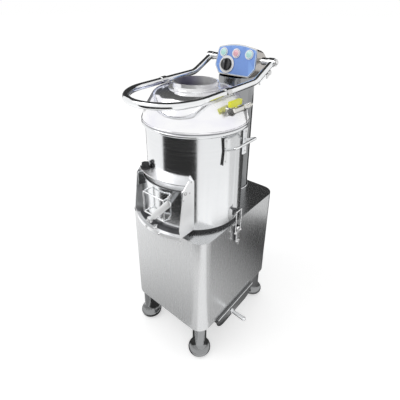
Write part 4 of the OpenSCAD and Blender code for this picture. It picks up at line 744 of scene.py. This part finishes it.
def make_side_trim():
    screw_r, screw_h = 3.2, 1.8
    rivet_in, rivet_r, rivet_h = 5, 2.6, 1.4
    loop, loop_share, wire = 7.0, 1.4, 1.3 * MM
    loop_in, loop_down = 2.2, 4
    for side, s in (("right", 1), ("left", -1)):
        start, way = s * OUTSIDE, (-s, 0, 0)
        rows = [("side_handle_" + side, (start, y, z), way) for y in (-STRAP_Y, STRAP_Y) for z in STRAP_Z]
        heads("strap_screws_" + side, "frame", rows, dome_head, screw_r, screw_h)
        low, high = mm_box("latch_keepers")
        rows = [("latch_keepers", (start, LATCH_Y, z), way) for z in (high.z - rivet_in, low.z + rivet_in)]
        heads("keeper_rivets_" + side, "frame", rows, dome_head, rivet_r, rivet_h)
        low, high = mm_box("latch_lever_" + side)
        x = s * ((high.x if s > 0 else -low.x) - loop_in)
        points = [at(x, LATCH_Y + loop * math.sin(a), low.z - loop_down + loop_share * loop * math.cos(a))
                  for a in turns(PULL_STEPS)]
        piece("latch_pull_" + side, lambda mesh, p=points: tube(mesh, p, wire, closed=True), M["bolt"],
              side + "_latch")


def make_lid_trim():
    bolt_across, bolt_h = 8.0, 4.0
    rows = [("lid_saddles", (s * SADDLE_X, SADDLE_Y, ABOVE), (0, 0, -1)) for s in (-1, 1)]
    heads("saddle_bolts", "lid_frame", rows, hex_head, bolt_across, bolt_h)
    pivot_across, pivot_h, pivot_washer = 13.0, 5.0, 9.0
    rows = [("bar_pivots", (s * OUTSIDE, PIVOT_Y, PIVOT_Z), (-s, 0, 0)) for s in (-1, 1)]
    heads("pivot_bolts", "frame", rows, hex_head, pivot_across, pivot_h, pivot_washer)
    tail_r, count, step = 7.0, 4, 9.5
    sink, ridge, ridge_at, barb_l = 0.2, 1.3, 1.2, 7
    root, peak = (tail_r - sink) * MM, (tail_r + ridge) * MM
    barb = [(root, 0), (peak, ridge_at * MM), (root, barb_l * MM)]

    def barbs(mesh):
        for i in range(count):
            matrix = basis(at(VALVE_X, VALVE_TAIL_Y + i * step, VALVE_Z), (0, 1, 0))
            revolve(mesh, barb, matrix, BARB_STEPS)
    piece("hose_barbs", barbs, M["brass"], "lid_frame")
    low, high = mm_box("lid_dome")
    hem_in, hem_up, hem_r = 0.6, 3.0, 1.5 * MM
    r = high.x - hem_in
    points = [at(r * math.cos(a), r * math.sin(a), low.z + hem_up) for a in turns(LID_HEM_STEPS)]
    piece("lid_hem", lambda mesh: tube(mesh, points, hem_r, closed=True), M["dome"], "lid_frame")


def make_rear_trim():
    low, high = mm_box("access_cover")
    screw_in, screw_across, screw_h = 8, 6.0, 2.4
    rows = [("access_cover", (x, OUTSIDE, z), (0, -1, 0))
            for x in (low.x + screw_in, high.x - screw_in) for z in (low.z + screw_in, high.z - screw_in)]
    heads("cover_screws", "frame", rows, hex_head, screw_across, screw_h)
    low, high = mm_box("column")
    bead, bead_up, corner_steps = 1.6, 0.7, 8

    def weld(mesh):
        left, right = low.x + COLUMN_CORNER, high.x - COLUMN_CORNER
        front, rear = low.y + COLUMN_CORNER, high.y - COLUMN_CORNER
        points = []
        for cx, cy, a0 in ((right, rear, 0), (left, rear, 90), (left, front, 180), (right, front, 270)):
            for i in range(corner_steps + 1):
                a = math.radians(a0 + 90 * i / corner_steps)
                points.append(at(cx + COLUMN_CORNER * math.cos(a), cy + COLUMN_CORNER * math.sin(a),
                                 CABINET_TOP + bead * bead_up))
        tube(mesh, points, bead * MM, closed=True)
    piece("column_weld", weld, M["hood"], "frame")
    seam_r = 0.9 * MM
    angle = math.radians(SEAM_ANGLE)
    way = Vector((-math.cos(angle), -math.sin(angle), 0))
    points = [skin("drum_shell", Vector((0, 0, z)) - way * OUTSIDE, way)[0] for z in SEAM_Z]
    piece("drum_seam", lambda mesh: tube(mesh, points, seam_r), M["drum"], "frame")


make_tray_hem()
make_panel_border()
make_button_trim()
make_knob_trim()
make_chute_trim()
make_side_trim()
make_lid_trim()
make_rear_trim()

# Studio: a white floor and world, one soft lamp, and cards that only reflections see. In metres.
WORLD_LIGHT = 0.66
FLOOR_GLOW, FLOOR_COLOUR, FLOOR_REACH = 0.5, (0.8, 0.8, 0.8, 1), 45.0
KEY_WATTS, KEY_SIZE, KEY_PLACE, KEY_AIM = 16, 1.6, (-1.1, -1.5, 2.7), (0, 0, 0.6)
CARD_Z, UNDER_Z, CARD_STEPS = 0.004, 0.003, 12
# Name, start and end angle from the front towards the right, inner and outer radius, height, and tone:
# one value, or a near and a far value, their distances from a point, and that point.
FLOOR_CARDS = (
    ("flag_front", -35, 44, 1.0, 16.0, CARD_Z, (0.03,)),
    ("shade_front", -100, 10, 0.28, 0.95, CARD_Z, (0.5, 1.0, 0.3, 0.75)),
    ("shade_left", -168, -100, 0.28, 1.3, CARD_Z, (0.10,)),
    ("shade_turn", 10, 34, 0.28, 0.95, CARD_Z, (0.72, 1.0, 0.3, 0.75)),
    ("shade_side", 78, 165, 0.28, 1.05, CARD_Z, (0.66, 0.05, 0.25, 0.8, (0.6, -0.15))),
    ("flag_left", -150, -112, 1.35, 4.5, CARD_Z, (0.08,)),
    ("shade_under", 0, 360, 0.01, 0.27, UNDER_Z, (0.07,)),
    ("tone_side", 122, 160, 1.05, 4.5, CARD_Z, (0.8,)),
    ("flag_rear", 160, 218, 0.7, 4.5, CARD_Z, (0.06,)),
)
# The cards behind and over the machine: the ends of the rear one in plan, its heights and tones.
BACK_LEFT, BACK_RIGHT = (-4.2, 0.6), (0.9, 3.6)
BACK_LOW, BACK_SPLIT, BACK_HIGH = 0.55, 1.5, 3.6
BACK_DARK, BACK_GREY = 0.04, 0.15
OVER_NEAR = ((0.7, -0.2), (0.3, -0.9), (-3.6, -0.9))


def stage_card(name, corners, mat, camera=False):
    data = bpy.data.meshes.new(name)
    data.from_pydata([Vector(c) for c in corners], [], [tuple(range(len(corners)))])
    obj = bpy.data.objects.new(name, data)
    scene.collection.objects.link(obj)
    data.materials.append(mat)
    if not camera:
        obj.visible_camera = False
        obj.visible_diffuse = False
        obj.visible_shadow = False
        obj.visible_transmission = False


def empty_tree(owner, output):
    owner.use_nodes = True
    tree = owner.node_tree
    tree.nodes.clear()
    return tree, tree.nodes.new(output).inputs[0]


def flag_material(name, near_value, far_value=None, near=0.0, far=1.0, middle=(0, 0)):
    """A card of one tone, or one that changes with the distance from a point, given from the drum axis."""
    mat = bpy.data.materials.new(name)
    tree, surface = empty_tree(mat, "ShaderNodeOutputMaterial")
    glow = add(tree, "ShaderNodeEmission", Strength=near_value)
    glow.inputs["Color"].default_value = (1, 1, 1, 1)
    if far_value is not None:
        gap = gap_from(tree, AXIS + Vector((*middle, 0)), flat=True)
        tree.links.new(span(tree, gap, near_value, far_value, near, far), glow.inputs["Strength"])
    tree.links.new(glow.outputs[0], surface)
    return mat


def shown(tree):
    """1 for the rays that show the background: camera, glossy and transmission rays."""
    path = tree.nodes.new("ShaderNodeLightPath")
    value = path.outputs["Is Camera Ray"]
    for other in ("Is Glossy Ray", "Is Transmission Ray"):
        most = add(tree, "ShaderNodeMath", operation="MAXIMUM")
        tree.links.new(value, most.inputs[0])
        tree.links.new(path.outputs[other], most.inputs[1])
        value = most.outputs[0]
    return value


def floor_material():
    mat = bpy.data.materials.new("white_floor")
    tree, surface = empty_tree(mat, "ShaderNodeOutputMaterial")
    plain = tree.nodes.new("ShaderNodeBsdfDiffuse")
    plain.inputs["Color"].default_value = FLOOR_COLOUR
    glow = add(tree, "ShaderNodeEmission", Strength=FLOOR_GLOW)
    both = tree.nodes.new("ShaderNodeAddShader")
    tree.links.new(plain.outputs[0], both.inputs[0])
    tree.links.new(glow.outputs[0], both.inputs[1])
    mix = tree.nodes.new("ShaderNodeMixShader")
    tree.links.new(shown(tree), mix.inputs[0])
    tree.links.new(plain.outputs[0], mix.inputs[1])
    tree.links.new(both.outputs[0], mix.inputs[2])
    tree.links.new(mix.outputs[0], surface)
    return mat


def make_world():
    world = bpy.data.worlds.new("studio")
    scene.world = world
    tree, surface = empty_tree(world, "ShaderNodeOutputWorld")
    back = tree.nodes.new("ShaderNodeBackground")
    back.inputs["Color"].default_value = (1, 1, 1, 1)
    tree.links.new(span(tree, shown(tree), WORLD_LIGHT, 1.0, 0, 1), back.inputs["Strength"])
    tree.links.new(back.outputs[0], surface)


def floor_card(name, start, end, inner, outer, z, tone):
    """Part of a ring on the floor round the drum axis."""
    angles = [math.radians(start + (end - start) * i / CARD_STEPS) for i in range(CARD_STEPS + 1)]

    def arc(r, along):
        return [AXIS + Vector((r * math.sin(a), -r * math.cos(a), z)) for a in along]
    stage_card(name, arc(inner, angles) + arc(outer, reversed(angles)), flag_material(name, *tone))


def make_stage():
    make_world()
    far = FLOOR_REACH
    corners = [(-far, -far, 0), (far, -far, 0), (far, far, 0), (-far, far, 0)]
    stage_card("floor", corners, floor_material(), True)
    key = bpy.data.lights.new("key", "AREA")
    key.energy = KEY_WATTS
    key.size = KEY_SIZE
    lamp = bpy.data.objects.new("key", key)
    scene.collection.objects.link(lamp)
    lamp.location = KEY_PLACE
    lamp.rotation_euler = (Vector(KEY_AIM) - lamp.location).to_track_quat("-Z", "Y").to_euler()
    for card in FLOOR_CARDS:
        floor_card(*card)
    dark, grey = flag_material("back_flag", BACK_DARK), flag_material("low_flag", BACK_GREY)
    walls = (("flag_back", BACK_SPLIT, BACK_HIGH, dark), ("flag_low", BACK_LOW, BACK_SPLIT, grey))
    for name, low, high, mat in walls:
        corners = [(*BACK_LEFT, low), (*BACK_RIGHT, low), (*BACK_RIGHT, high), (*BACK_LEFT, high)]
        stage_card(name, corners, mat)
    stage_card("flag_over", [(*place, BACK_HIGH) for place in (BACK_LEFT, BACK_RIGHT, *OVER_NEAR)], dark)


make_stage()
scene.view_settings.view_transform = "Standard"
